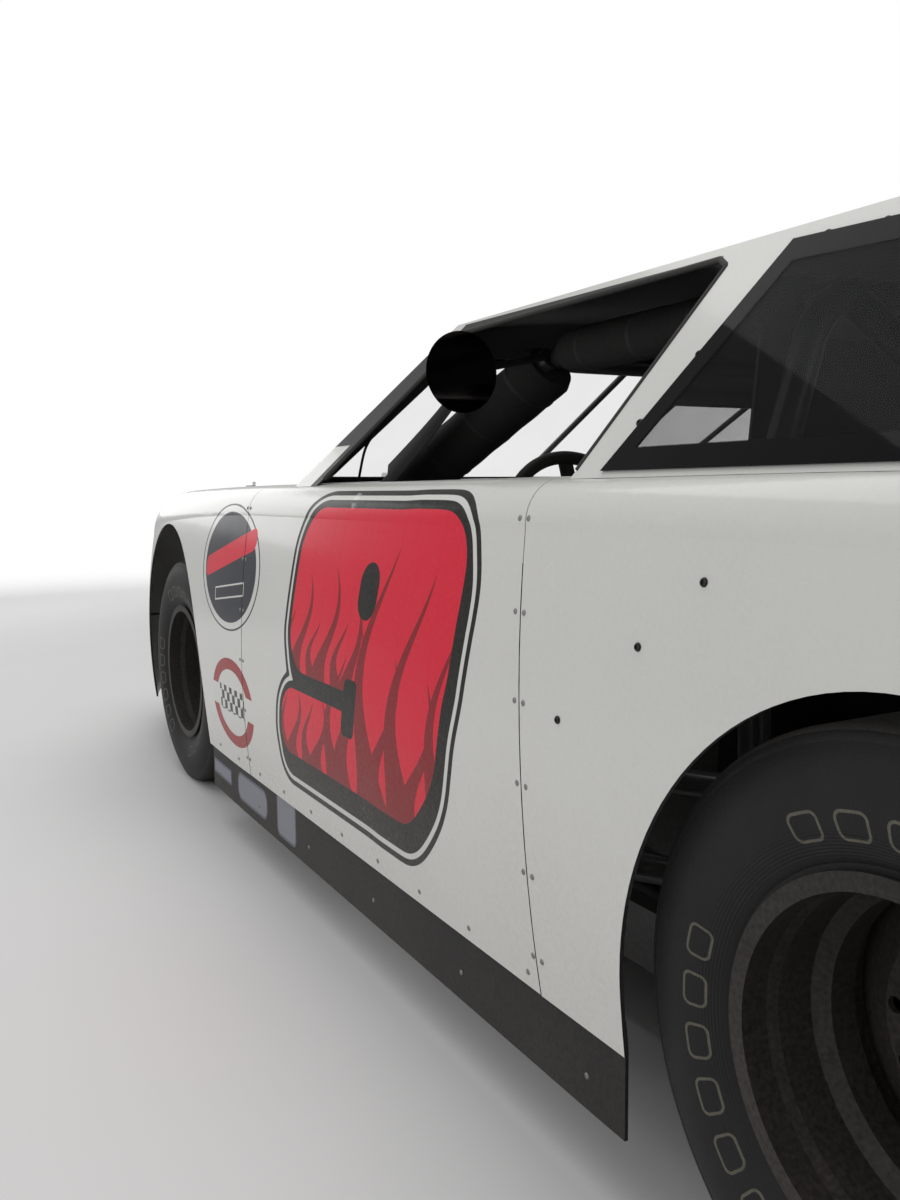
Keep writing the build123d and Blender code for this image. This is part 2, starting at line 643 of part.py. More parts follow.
# Roll cage: main hoop, halo, front legs, door bars and stays
DOOR_BAR_HEIGHTS = (330.0, 470.0, 610.0, 750.0)
cage_runs = [
    [
        (RAIL_PLACE, HOOP_PLACE - 60.0, RAIL_TOP), (RAIL_PLACE + 40.0, HOOP_PLACE - 30.0, 820.0),
        (HALO_HALF, HOOP_PLACE, CAGE_TOP), (-HALO_HALF, HOOP_PLACE, CAGE_TOP),
        (-RAIL_PLACE - 40.0, HOOP_PLACE - 30.0, 820.0), (-RAIL_PLACE, HOOP_PLACE - 60.0, RAIL_TOP),
    ],
    [
        (HALO_HALF - 40.0, HOOP_PLACE, CAGE_TOP), (HALO_HALF - 20.0, HALO_FRONT, CAGE_TOP - 12.0),
        (-HALO_HALF + 20.0, HALO_FRONT, CAGE_TOP - 12.0), (-HALO_HALF + 40.0, HOOP_PLACE, CAGE_TOP),
    ],
    [(RAIL_PLACE + 50.0, LEG_FOOT + 60.0, 780.0), (-RAIL_PLACE - 50.0, LEG_FOOT + 60.0, 780.0)],
    [(RAIL_PLACE + 30.0, HOOP_PLACE - 33.0, 720.0), (-RAIL_PLACE - 30.0, HOOP_PLACE - 33.0, 720.0)],
]
cage_runs += both_sides(
    [
        (HALO_HALF - 20.0, HALO_FRONT + 30.0, CAGE_TOP - 12.0), (RAIL_PLACE + 50.0, LEG_FOOT + 110.0, 880.0),
        (RAIL_PLACE, LEG_FOOT, RAIL_TOP),
    ]
)
for height in DOOR_BAR_HEIGHTS:
    cage_runs += both_sides(
        [
            (RAIL_PLACE + 20.0, LEG_FOOT + 60.0, height), (RAIL_PLACE + 170.0, LEG_FOOT + 300.0, height),
            (RAIL_PLACE + 170.0, HOOP_PLACE - 320.0, height), (RAIL_PLACE + 20.0, HOOP_PLACE - 50.0, height),
        ]
    )
with BuildPart() as roll_cage:
    add([tube(run, CAGE_TUBE) for run in cage_runs])
    add(panel_bars(CAGE_BARS))
    add(frame_rails.part, mode=Mode.SUBTRACT)
save(roll_cage.part, "roll_cage")

# Stays from the cage to the two clips, with the bar that carries the rear dampers
stay_runs = [[(528.0, REAR_AXLE + 130.0, 672.0), (-528.0, REAR_AXLE + 130.0, 672.0)]]
stay_runs += both_sides(
    [(HALO_HALF - 60.0, HOOP_PLACE, CAGE_TOP - 10.0), (CLIP_REAR_PLACE, 1740.0, 368.0)]
)
stay_runs += both_sides(
    [
        (RAIL_PLACE + 40.0, LEG_FOOT + 70.0, 740.0), (CLIP_FRONT_PLACE + 60.0, -1500.0, 640.0),
        (CLIP_FRONT_PLACE, -2120.0, 360.0),
    ]
)
with BuildPart() as cage_stays:
    add([tube(run, CAGE_TUBE) for run in stay_runs])
    add(panel_bars(STAY_BARS))
    add([frame_rails.part, roll_cage.part], mode=Mode.SUBTRACT)
save(cage_stays.part, "cage_stays")

# Bumper bars inside the nose and the tail cover
BUMPER_HEIGHT = 360.0
with BuildPart() as bumper_bars:
    add(
        tube(
            [
                (CLIP_FRONT_PLACE, -2150.0, BUMPER_HEIGHT - 30.0), (CLIP_FRONT_PLACE + 60.0, -2340.0, BUMPER_HEIGHT),
                (-CLIP_FRONT_PLACE - 60.0, -2340.0, BUMPER_HEIGHT), (-CLIP_FRONT_PLACE, -2150.0, BUMPER_HEIGHT - 30.0),
            ],
            BRACE_TUBE,
        )
    )
    add(
        tube(
            [
                (CLIP_REAR_PLACE, 2170.0, BUMPER_HEIGHT - 30.0), (CLIP_REAR_PLACE + 90.0, 2400.0, BUMPER_HEIGHT),
                (-CLIP_REAR_PLACE - 90.0, 2400.0, BUMPER_HEIGHT), (-CLIP_REAR_PLACE, 2170.0, BUMPER_HEIGHT - 30.0),
            ],
            BRACE_TUBE,
        )
    )
    for side in (1, -1):
        for bar_place, cap, low, high in (
            (-2340.0, NOSE_TIP + SKIN + SEAT_GAP, 374.0, 440.0), (2400.0, TAIL_TIP - SKIN - SEAT_GAP, 330.0, 400.0),
        ):
            with Locations((side * 300.0, (bar_place + cap) / 2, (low + high) / 2)):
                Box(6.0, abs(cap - bar_place), high - low)
    add(frame_rails.part, mode=Mode.SUBTRACT)
save(bumper_bars.part, "bumper_bars")

# Sheet metal of the cabin: floor with its tunnel, firewall and rear bulkhead
FIREWALL = -480.0
BULKHEAD = 960.0
TIN_HALF = 630.0
DASH_TOP = 874.0
FIREWALL_TOP = DASH_TOP - SHEET / 2 - SEAT_GAP
TUNNEL_HALF = 125.0
TUNNEL_TOP = 470.0
with BuildPart() as cabin_tin:
    with Locations((0, (FIREWALL + BULKHEAD) / 2, FLOOR)):
        Box(2 * TIN_HALF, BULKHEAD - FIREWALL, SHEET)
    with Locations((0, FIREWALL, (FLOOR + FIREWALL_TOP) / 2)):
        Box(2 * TIN_HALF, SHEET, FIREWALL_TOP - FLOOR)
    with Locations((0, BULKHEAD, (FLOOR + 800.0) / 2)):
        Box(2 * 540.0, SHEET, 800.0 - FLOOR)
    with Locations((0, (FIREWALL + BULKHEAD) / 2, (FLOOR + TUNNEL_TOP) / 2)):
        Box(2 * TUNNEL_HALF, BULKHEAD - FIREWALL, TUNNEL_TOP - FLOOR)
    with Locations((0, (FIREWALL + BULKHEAD) / 2, (FLOOR + TUNNEL_TOP) / 2 - SHEET)):
        Box(
            2 * TUNNEL_HALF - 2 * SHEET, BULKHEAD - FIREWALL + 20.0, TUNNEL_TOP - FLOOR,
            mode=Mode.SUBTRACT,
        )
    add([roll_cage.part, cage_stays.part, frame_rails.part], mode=Mode.SUBTRACT)
save(cabin_tin.part, "cabin_tin")

# Engine and gearbox as plain blocks at their real size and place
with BuildPart() as engine:
    with Locations((0, -1130.0, 480.0)):
        Box(2 * ENGINE_HALF, 620.0, 420.0)
    with Locations((0, -1130.0, 240.0)):
        Box(260.0, 520.0, 60.0)
    with Locations((0, -1130.0, 735.0)):
        Cylinder(180.0, 100.0)
    with Locations((0, -655.0, GEARBOX_FOOT)):
        Box(200.0, 340.0, 200.0, align=(Align.CENTER, Align.CENTER, Align.MIN))
save(engine.part, "engine")

with BuildPart() as radiator:
    with Locations((0, -2140.0 + RAIL_WIDTH / 2 + SEAT_GAP, 490.0)):
        Box(680.0, 60.0, 400.0, align=(Align.CENTER, Align.MIN, Align.CENTER))
save(radiator.part, "radiator")

with BuildPart() as exhaust:
    add([tube(run, PIPE, 90.0) for run in pipe_runs])
    add(engine.part, mode=Mode.SUBTRACT)
save(exhaust.part, "exhaust")

with BuildPart() as driveshaft:
    add(tube([(0, -485.0 + SEAT_GAP, 350.0), (0, REAR_AXLE - 150.0 - SEAT_GAP, TYRE_RADIUS)], 76.0))
save(driveshaft.part, "driveshaft")

with BuildPart() as fuel_cell:
    with Locations((0, 1960.0, 430.0)):
        Box(640.0, 400.0 - RAIL_WIDTH - 2 * SEAT_GAP, 240.0)
    fillet(fuel_cell.edges(), 20.0)
save(fuel_cell.part, "fuel_cell")

# Rear axle with its quick-change housing
AXLE_TUBE = 38.0
AXLE_SNOUT = 30.0
with BuildPart() as rear_axle:
    with Locations((0, REAR_AXLE, TYRE_RADIUS)):
        Box(230.0, 300.0, 300.0)
        Cylinder(AXLE_TUBE, 1340.0, rotation=(0, 90, 0))
        Cylinder(AXLE_SNOUT, 2 * (REAR_TRACK - HUB_OFFSET - 6.0), rotation=(0, 90, 0))
save(rear_axle.part, "rear_axle")

# Rear trailing arms and panhard bar
with BuildPart() as rear_links:
    for run in both_sides([(560.0, 815.0, 140.0), (600.0, REAR_AXLE, TYRE_RADIUS - 20.0)]):
        add(tube(run, 30.0))
    add([frame_rails.part, rear_axle.part], mode=Mode.SUBTRACT)
save(rear_links.part, "rear_links")

# Front wishbones
with BuildPart() as control_arms:
    for height, root, root_height in (
        (BALL_LOW, CLIP_FRONT_PLACE, BALL_LOW + 70.0), (BALL_HIGH, CLIP_FRONT_PLACE + 20.0, BALL_HIGH + 30.0),
    ):
        for spread in (95.0, -95.0):
            for run in both_sides([(root, FRONT_AXLE + spread, root_height), (KINGPIN - 10.0, FRONT_AXLE, height)]):
                add(tube(run, 26.0))
        for side in (1, -1):
            with Locations((side * KINGPIN, FRONT_AXLE, height)):
                Cylinder(20.0, 2 * BALL_HOUSING)
    add(frame_rails.part, mode=Mode.SUBTRACT)
save(control_arms.part, "control_arms")

with BuildPart() as coilovers:
    for points, width in (
        ([(452.0, FRONT_AXLE, 590.0), (532.0, FRONT_AXLE, 290.0)], 70.0),
        ([(452.0, FRONT_AXLE, 580.0), (488.0, FRONT_AXLE, 652.0)], 20.0),
        ([(530.0, FRONT_AXLE, 297.0), (546.0, FRONT_AXLE, 236.0)], 18.0),
        ([(546.0, FRONT_AXLE - 30.0, 236.0), (546.0, FRONT_AXLE + 30.0, 236.0)], 16.0),
        ([(430.0, REAR_AXLE + 130.0, 680.0), (448.0, REAR_AXLE + 80.0, TYRE_RADIUS)], 70.0),
        ([(448.0, REAR_AXLE + 84.0, TYRE_RADIUS + 16.0), (448.0, REAR_AXLE, TYRE_RADIUS)], 26.0),
    ):
        add([tube(run, width) for run in both_sides(points)])
    add([rear_axle.part, control_arms.part, frame_rails.part, cage_stays.part], mode=Mode.SUBTRACT)
save(coilovers.part, "coilovers")

# Knuckles
SPINDLE_END = FRONT_TRACK - HUB_OFFSET - 6.0
for side, side_name in ((1, "left"), (-1, "right")):
    with BuildPart() as knuckle:
        with Locations((side * (KINGPIN + 8.0), FRONT_AXLE, (BALL_LOW + BALL_HIGH) / 2)):
            Box(24.0, 60.0, BALL_HIGH - BALL_LOW - 2 * BALL_HOUSING - 2 * SEAT_GAP)
        with Locations((side * (KINGPIN + SPINDLE_END) / 2, FRONT_AXLE, TYRE_RADIUS)):
            Cylinder(SPINDLE, SPINDLE_END - KINGPIN, rotation=(0, 90, 0))
        add(
            tube(
                [
                    (side * (KINGPIN + 6.0), FRONT_AXLE, RACK_HEIGHT - 26.0),
                    (side * KINGPIN, FRONT_AXLE - STEER_ARM - 12.0, RACK_HEIGHT - 26.0),
                ],
                24.0,
            )
        )
    save(knuckle.part, "knuckle_" + side_name)

with BuildPart() as steering_rack:
    add(
        tube(
            [
                (-KINGPIN, FRONT_AXLE - STEER_ARM, RACK_HEIGHT), (KINGPIN, FRONT_AXLE - STEER_ARM, RACK_HEIGHT),
            ],
            2 * RACK_BAR,
        )
    )
save(steering_rack.part, "steering_rack")

# Wheels, hubs and tyres. Profiles are drawn with the distance from the car's middle along X
# and the radius along Y, then turned about the axle
NUT_HEIGHT = 14.0
DISC_WALL = 8.0
LUG_CLEAR = 0.3
LUG_PITCH = LUG_CIRCLE / 2


def axle_plane(axle, side):
    """The plane of a wheel's profile: X outwards from the car, Y up from the axle."""
    return Plane(origin=(0, axle, TYRE_RADIUS), x_dir=(side, 0, 0), z_dir=(0, -side, 0))


def disc_plane(axle, side, place):
    """A plane across a wheel's axis at a distance from the car's middle, facing outwards."""
    return Plane(origin=(side * place, axle, TYRE_RADIUS), x_dir=(0, side, 0), z_dir=(side, 0, 0))


for axle, axle_name, track, bore in (
    (FRONT_AXLE, "front", FRONT_TRACK, SPINDLE + RUNNING_FIT),
    (REAR_AXLE, "rear", REAR_TRACK, AXLE_SNOUT + RUNNING_FIT),
):
    hub_face = track - HUB_OFFSET
    rotor_inner = track - ROTOR_OFFSET - ROTOR_THICK / 2
    rotor_outer = rotor_inner + ROTOR_THICK
    for side, side_name in ((1, "left"), (-1, "right")):
        turn_axis = Axis((0, axle, TYRE_RADIUS), (side, 0, 0))
        inner_edge = track - RIM_HALF_WIDTH + 2.0
        outer_edge = track + RIM_HALF_WIDTH - 2.0
        inner_side = track - TYRE_HALF_WIDTH
        outer_side = track + TYRE_HALF_WIDTH
        inner_tread = track - TREAD_HALF_WIDTH
        outer_tread = track + TREAD_HALF_WIDTH
        bead = RIM_RADIUS + SEAT_GAP
        collar = RIM_LIP + 6.0
        bulge = (bead + TYRE_RADIUS) / 2
        shoulder = TYRE_RADIUS - 16.0
        cavity = TYRE_RADIUS - TYRE_WALL

        with BuildPart() as tyre:
            with BuildSketch(axle_plane(axle, side)):
                with BuildLine():
                    Line((inner_edge, bead), (inner_edge, collar))
                    ThreePointArc((inner_edge, collar), (inner_side, bulge), (inner_tread - 6, shoulder))
                    ThreePointArc(
                        (inner_tread - 6, shoulder), (inner_tread - 1, TYRE_RADIUS - 5),
                        (inner_tread + 10, TYRE_RADIUS),
                    )
                    Line((inner_tread + 10, TYRE_RADIUS), (outer_tread - 10, TYRE_RADIUS))
                    ThreePointArc(
                        (outer_tread - 10, TYRE_RADIUS), (outer_tread + 1, TYRE_RADIUS - 5),
                        (outer_tread + 6, shoulder),
                    )
                    ThreePointArc((outer_tread + 6, shoulder), (outer_side, bulge), (outer_edge, collar))
                    Line((outer_edge, collar), (outer_edge, bead))
                    Line((outer_edge, bead), (outer_edge - TYRE_WALL, bead))
                    ThreePointArc(
                        (outer_edge - TYRE_WALL, bead), (outer_side - TYRE_WALL, bulge),
                        (outer_tread - TYRE_WALL, cavity),
                    )
                    Line((outer_tread - TYRE_WALL, cavity), (inner_tread + TYRE_WALL, cavity))
                    ThreePointArc(
                        (inner_tread + TYRE_WALL, cavity), (inner_side + TYRE_WALL, bulge),
                        (inner_edge + TYRE_WALL, bead),
                    )
                    Line((inner_edge + TYRE_WALL, bead), (inner_edge, bead))
                make_face()
            revolve(axis=turn_axis)
        save(tyre.part, "tyre_" + axle_name + "_" + side_name)

        # Steel rim with drop centre, lips and a dished disc
        bead_seat = RIM_RADIUS - RIM_WALL / 2
        barrel = RIM_RADIUS - 6.0
        well = RIM_RADIUS - 22.0
        inner_lip = track - RIM_HALF_WIDTH
        outer_lip = track + RIM_HALF_WIDTH
        with BuildPart() as wheel:
            with BuildSketch(axle_plane(axle, side)):
                with BuildLine():
                    rim_line = Polyline(
                        (inner_lip - 4.0, RIM_LIP), (inner_lip - 4.0, bead_seat),
                        (inner_lip + 30.0, bead_seat), (inner_lip + 44.0, barrel),
                        (hub_face + DISC_WALL + 14.0, barrel), (hub_face + DISC_WALL + 26.0, well),
                        (hub_face + DISC_WALL + 62.0, well), (hub_face + DISC_WALL + 76.0, barrel),
                        (outer_lip - 44.0, barrel), (outer_lip - 30.0, bead_seat),
                        (outer_lip + 4.0, bead_seat), (outer_lip + 4.0, RIM_LIP),
                    )
                trace(line_width=RIM_WALL)
            revolve(axis=turn_axis)
            with BuildSketch(axle_plane(axle, side)):
                with BuildLine():
                    Polyline(
                        (hub_face, 42.0), (hub_face, 86.0), (hub_face + 22.0, 104.0),
                        (hub_face + 22.0, 128.0), (hub_face - 6.0, barrel - 1.0),
                        (hub_face - 6.0 + DISC_WALL, barrel - 1.0), (hub_face + 22.0 + DISC_WALL, 128.0),
                        (hub_face + 22.0 + DISC_WALL, 104.0), (hub_face + DISC_WALL, 86.0),
                        (hub_face + DISC_WALL, 42.0), close=True,
                    )
                make_face()
            revolve(axis=turn_axis)
            with BuildSketch(disc_plane(axle, side, hub_face - 1.0)):
                with PolarLocations(LUG_PITCH, LUG_COUNT):
                    Circle(STUD_RADIUS + LUG_CLEAR)
                with PolarLocations(116.0, 12):
                    Circle(9.0)
            extrude(amount=60.0, mode=Mode.SUBTRACT)
        save(wheel.part, "wheel_" + axle_name + "_" + side_name)

        # Hub with its brake disc, studs and nuts
        with BuildPart() as hub:
            with BuildSketch(axle_plane(axle, side)):
                with BuildLine():
                    Polyline(
                        (rotor_inner - 26.0, bore), (rotor_inner - 26.0, HUB_BARREL),
                        (rotor_outer - 6.0, HUB_BARREL),
                        (rotor_outer - 6.0, 92.0),
                        (rotor_inner, 92.0), (rotor_inner, ROTOR_RADIUS),
                        (rotor_outer, ROTOR_RADIUS), (rotor_outer, HUB_BARREL),
                        (hub_face - 12.0, HUB_BARREL), (hub_face - 12.0, HUB_FLANGE),
                        (hub_face, HUB_FLANGE), (hub_face, 40.0), (hub_face + 24.0, 40.0),
                        (hub_face + 24.0, 0.0), (hub_face, 0.0), (hub_face, bore), close=True,
                    )
                make_face()
            revolve(axis=turn_axis)
            with BuildSketch(disc_plane(axle, side, hub_face - 6.0)):
                with PolarLocations(LUG_PITCH, LUG_COUNT):
                    Circle(STUD_RADIUS)
            extrude(amount=DISC_WALL + NUT_HEIGHT + 20.0)
            with BuildSketch(disc_plane(axle, side, hub_face + DISC_WALL + LUG_CLEAR)):
                with PolarLocations(LUG_PITCH, LUG_COUNT):
                    RegularPolygon(NUT_RADIUS, 6)
            extrude(amount=NUT_HEIGHT)
        save(hub.part, "hub_" + axle_name + "_" + side_name)

# Steering wheel and its shaft
COLUMN_AXIS = (0.0, -cos(radians(COLUMN_TILT)), -sin(radians(COLUMN_TILT)))
rim_plane = Plane(origin=WHEEL_CENTRE, x_dir=(1, 0, 0), z_dir=COLUMN_AXIS)
GRIP_RADIUS = 175.0
with BuildPart() as steering_wheel:
    with BuildSketch(Plane(origin=WHEEL_CENTRE, x_dir=(1, 0, 0), z_dir=(0, COLUMN_AXIS[2], -COLUMN_AXIS[1]))):
        with Locations((GRIP_RADIUS, 0)):
            Circle(14.0)
    revolve(axis=Axis(WHEEL_CENTRE, COLUMN_AXIS))
    with BuildSketch(rim_plane):
        Circle(45.0)
        with PolarLocations(GRIP_RADIUS / 2, 3, start_angle=-30.0):
            Rectangle(GRIP_RADIUS, 34.0)
    extrude(amount=6.0)
    with BuildSketch(rim_plane):
        Circle(22.0)
    extrude(amount=70.0)
    with BuildSketch(rim_plane):
        Circle(11.0)
    extrude(amount=560.0)
save(steering_wheel.part, "steering_wheel")

# Dash panel, with a tab that carries the column
with BuildPart() as dash:
    with Locations((0, -300.0, 800.0)):
        Box(1180.0, SHEET, 150.0)
    with Locations((0, (FIREWALL - 300.0) / 2, DASH_TOP)):
        Box(1180.0, -300.0 - FIREWALL + 6.0, SHEET)
    with Locations((WHEEL_CENTRE[0], -300.0, 680.0)):
        Box(80.0, SHEET, 100.0)
    with BuildSketch(rim_plane):
        Circle(11.0 + RUNNING_FIT)
    extrude(amount=500.0, mode=Mode.SUBTRACT)
    add(roll_cage.part, mode=Mode.SUBTRACT)
save(dash.part, "dash")

# Bucket seat of bent sheet, with side bolsters and a head rest
SEAT_HALF = 215.0
SEAT_WALL = 5.0
with BuildPart() as seat:
    seat_line = [(380.0, 330.0), (655.0, 300.0), (685.0, 320.0), (775.0, 1110.0)]
    with BuildSketch(Plane.YZ.offset(SEAT_SIDE - SEAT_HALF)):
        with BuildLine():
            Polyline(*seat_line)
        trace(line_width=SEAT_WALL)
    extrude(amount=2 * SEAT_HALF)
    for place in (SEAT_SIDE - SEAT_HALF, SEAT_SIDE + SEAT_HALF - SEAT_WALL):
        with BuildSketch(Plane.YZ.offset(place)):
            with BuildLine():
                Polyline(
                    (380.0, 330.0), (380.0, 450.0), (560.0, 470.0), (600.0, 800.0), (710.0, 880.0),
                    (749.0, 880.0), (685.0, 320.0), (655.0, 300.0), close=True,
                )
            make_face()
        extrude(amount=SEAT_WALL)
    for place in (SEAT_SIDE - 150.0, SEAT_SIDE + 150.0):
        seat_foot = FLOOR + SHEET / 2 + SEAT_GAP
        legs = [(410.0, seat_foot), (630.0, seat_foot), (630.0, 302.0), (410.0, 326.0)]
        add(side_slab(legs, place - SEAT_WALL / 2, place + SEAT_WALL / 2))
save(seat.part, "seat")

# Mirrors
SPOT_CENTRE = (800.0, 227.0, 1105.0)
SPOT_RADIUS = 71.5
with BuildPart() as spot_mirror:
    with BuildSketch(Plane(origin=SPOT_CENTRE, x_dir=(1, 0, 0), z_dir=(0, -1, 0))):
        Circle(SPOT_RADIUS)
    extrude(amount=28.0, taper=30.0)
    add(
        tube(
            [
                (SPOT_CENTRE[0], SPOT_CENTRE[1] - 20.0, SPOT_CENTRE[2]),
                (HALO_HALF - 2.0, HALO_FRONT + 40.0, CAGE_TOP - 12.0),
            ],
            14.0,
        )
    )
    add(roll_cage.part, mode=Mode.SUBTRACT)
save(spot_mirror.part, "spot_mirror")

with BuildPart() as cabin_mirror:
    with Locations((120.0, 190.0, 1095.0)):
        Box(420.0, 12.0, 62.0)
    add(tube([(120.0, 186.0, 1120.0), (120.0, 152.0, CAGE_TOP - 20.0)], 12.0))
    add(roll_cage.part, mode=Mode.SUBTRACT)
save(cabin_mirror.part, "cabin_mirror")

# Rear spoiler on the deck lid
SPOILER_HEIGHT = 165.0
with BuildPart() as spoiler:
    with BuildSketch(Plane.YZ.offset(-DECK_HALF)):
        with BuildLine():
            Polyline((2150.0, 880.0), (2250.0, 1090.0))
        trace(line_width=5.0)
    extrude(amount=2 * DECK_HALF)
    add(body_fit[2], mode=Mode.SUBTRACT)
save(spoiler.part, "spoiler")

# Straps behind the windshield
STRAP = 14.0


def windshield_point(across, height, inset):
    """A point of the windshield's face at a place across the car and a height, moved inwards."""
    share = (height - GLASS_FOOT) / (ROOF_EDGE - GLASS_FOOT)
    half, front, bow = [
        low + (high - low) * share for low, high in zip(GREENHOUSE_FOOT[:3], GREENHOUSE_TOP[:3])
    ]
    place = front - bow * (1 - (across / half) ** 2)
    return (across, place + inset, height)


with BuildPart() as windshield_straps:
    for place in (-235.0, 0.0, 235.0):
        add(tube([windshield_point(place, 905.0, 22.0), windshield_point(place, 1188.0, 22.0)], STRAP))
    add(body_fit, mode=Mode.SUBTRACT)
save(windshield_straps.part, "windshield_straps")

# Grille mesh in the nose
with BuildPart() as grille:
    with Locations((0, NOSE_TIP + SKIN + 2.0 + SEAT_GAP, GRILLE_HEIGHT)):
        Box(GRILLE_WIDTH + 30.0, 4.0, GRILLE_TALL + 30.0)
        with GridLocations(46.0, 40.0, 18, 4):
            Box(38.0, 10.0, 32.0, mode=Mode.SUBTRACT)
save(grille.part, "grille")
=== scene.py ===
import math

import bmesh
import bpy
import numpy as np
from mathutils import Matrix, Vector


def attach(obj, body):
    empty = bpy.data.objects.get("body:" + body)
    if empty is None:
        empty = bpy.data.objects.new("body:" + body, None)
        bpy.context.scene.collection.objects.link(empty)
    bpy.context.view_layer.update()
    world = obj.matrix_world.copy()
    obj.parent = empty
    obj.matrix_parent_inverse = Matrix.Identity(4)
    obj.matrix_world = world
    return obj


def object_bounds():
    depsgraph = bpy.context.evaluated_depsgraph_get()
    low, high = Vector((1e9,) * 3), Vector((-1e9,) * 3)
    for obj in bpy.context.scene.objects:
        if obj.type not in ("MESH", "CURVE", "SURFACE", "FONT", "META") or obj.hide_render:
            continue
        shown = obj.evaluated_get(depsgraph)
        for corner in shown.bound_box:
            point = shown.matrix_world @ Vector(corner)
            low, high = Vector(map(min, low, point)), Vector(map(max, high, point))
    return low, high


bl_info = {
    "name": "Stock car looks",
    "version": (1, 0, 0),
    "blender": (4, 5, 0),
    "location": "View3D > Sidebar > Stock car",
    "description": "Paint, decals, glass, tyres and small fittings of a stock car",
    "category": "Object",
}

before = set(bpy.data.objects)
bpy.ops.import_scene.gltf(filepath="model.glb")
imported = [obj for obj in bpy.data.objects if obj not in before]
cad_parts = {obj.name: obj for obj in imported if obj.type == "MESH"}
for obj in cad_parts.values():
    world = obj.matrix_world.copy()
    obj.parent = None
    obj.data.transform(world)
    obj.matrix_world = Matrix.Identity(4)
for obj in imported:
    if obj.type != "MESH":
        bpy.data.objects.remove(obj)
cad_box = [list(corner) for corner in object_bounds()]

# Places shared with the car's frame, in metres: X to the car's left, Y to its tail, Z up
FRONT_AXLE = -1.358
REAR_AXLE = 1.263
AXLE_HEIGHT = 0.343
FRONT_TRACK = 0.780
REAR_TRACK = 0.810
TYRE_RADIUS = 0.343
BELT = 0.916
SILL = 0.219
SHOULDER = 0.070
NECK_HEIGHT = BELT - SHOULDER
FENDER_SEAM = -0.528
NOSE_SEAM = -1.950
TAIL_SEAM = 2.250
DASH_FACE = -0.2972
SEAT_MIDDLE = 0.420
WHEELS = (
    ("front_left", 1, FRONT_AXLE, FRONT_TRACK, "knuckle_left"),
    ("front_right", -1, FRONT_AXLE, FRONT_TRACK, "knuckle_right"),
    ("rear_left", 1, REAR_AXLE, REAR_TRACK, "chassis"),
    ("rear_right", -1, REAR_AXLE, REAR_TRACK, "chassis"),
)


# Settings that a user would change


class PaintSettings(bpy.types.PropertyGroup):
    """Colours of the body, its number and its decals."""

    body_white: bpy.props.FloatVectorProperty(
        name="Body white", description="Gelcoat of the body panels", subtype="COLOR",
        size=3, min=0, max=1, default=(0.72, 0.72, 0.69),
    )
    number_red: bpy.props.FloatVectorProperty(
        name="Number red", description="Fill of the door number", subtype="COLOR",
        size=3, min=0, max=1, default=(0.78, 0.012, 0.045),
    )
    flame_red: bpy.props.FloatVectorProperty(
        name="Flame red", description="Darker flames inside the number", subtype="COLOR",
        size=3, min=0, max=1, default=(0.27, 0.007, 0.016),
    )
    number_black: bpy.props.FloatVectorProperty(
        name="Number black", description="Outline and shadow of the number", subtype="COLOR",
        size=3, min=0, max=1, default=(0.008, 0.009, 0.010),
    )
    oval_blue: bpy.props.FloatVectorProperty(
        name="Oval blue", description="Dark field of the oval decal", subtype="COLOR",
        size=3, min=0, max=1, default=(0.018, 0.022, 0.036),
    )


class DetailSettings(bpy.types.PropertyGroup):
    """Sizes of the small fittings."""

    rivet_radius: bpy.props.FloatProperty(
        name="Rivet radius", description="Head radius of the pop rivets",
        default=0.0044, min=0.002, max=0.01, unit="LENGTH",
    )
    spring_turns: bpy.props.FloatProperty(
        name="Spring turns", description="Turns of each coil spring", default=8.0, min=3, max=14,
    )


class StageSettings(bpy.types.PropertyGroup):
    """Floor, lamps and camera."""

    floor_grey: bpy.props.FloatProperty(
        name="Floor", description="Lightness of the plain floor", default=0.80, min=0, max=1,
    )
    world_level: bpy.props.FloatProperty(
        name="World", description="Level of the even light from all round",
        default=0.42, min=0, max=2,
    )
    key_power: bpy.props.FloatProperty(
        name="Main lamp", description="Power of the large lamp over the car",
        default=110.0, min=0, max=2000, unit="POWER",
    )
    fill_power: bpy.props.FloatProperty(
        name="Side lamps", description="Power of each side lamp",
        default=42.0, min=0, max=2000, unit="POWER",
    )


# Node trees, written as arithmetic


def math_node(operation, swapped=False):
    """A method that adds one math node of two inputs, the second first where they are swapped."""

    def method(self, other):
        pair = (other, self) if swapped else (self, other)
        return self.graph.math(operation, *pair)

    return method


class Value:
    """What a socket of a node tree gives. Arithmetic on numbers adds math nodes."""

    __add__, __radd__ = math_node("ADD"), math_node("ADD", True)
    __sub__, __rsub__ = math_node("SUBTRACT"), math_node("SUBTRACT", True)
    __mul__, __rmul__ = math_node("MULTIPLY"), math_node("MULTIPLY", True)
    __truediv__ = math_node("DIVIDE")
    __pow__ = math_node("POWER")
    __gt__ = math_node("GREATER_THAN")
    __lt__ = math_node("LESS_THAN")

    def __init__(self, graph, socket):
        self.graph = graph
        self.socket = socket

    def __abs__(self):
        return self.graph.math("ABSOLUTE", self)

    def __neg__(self):
        return self * -1.0


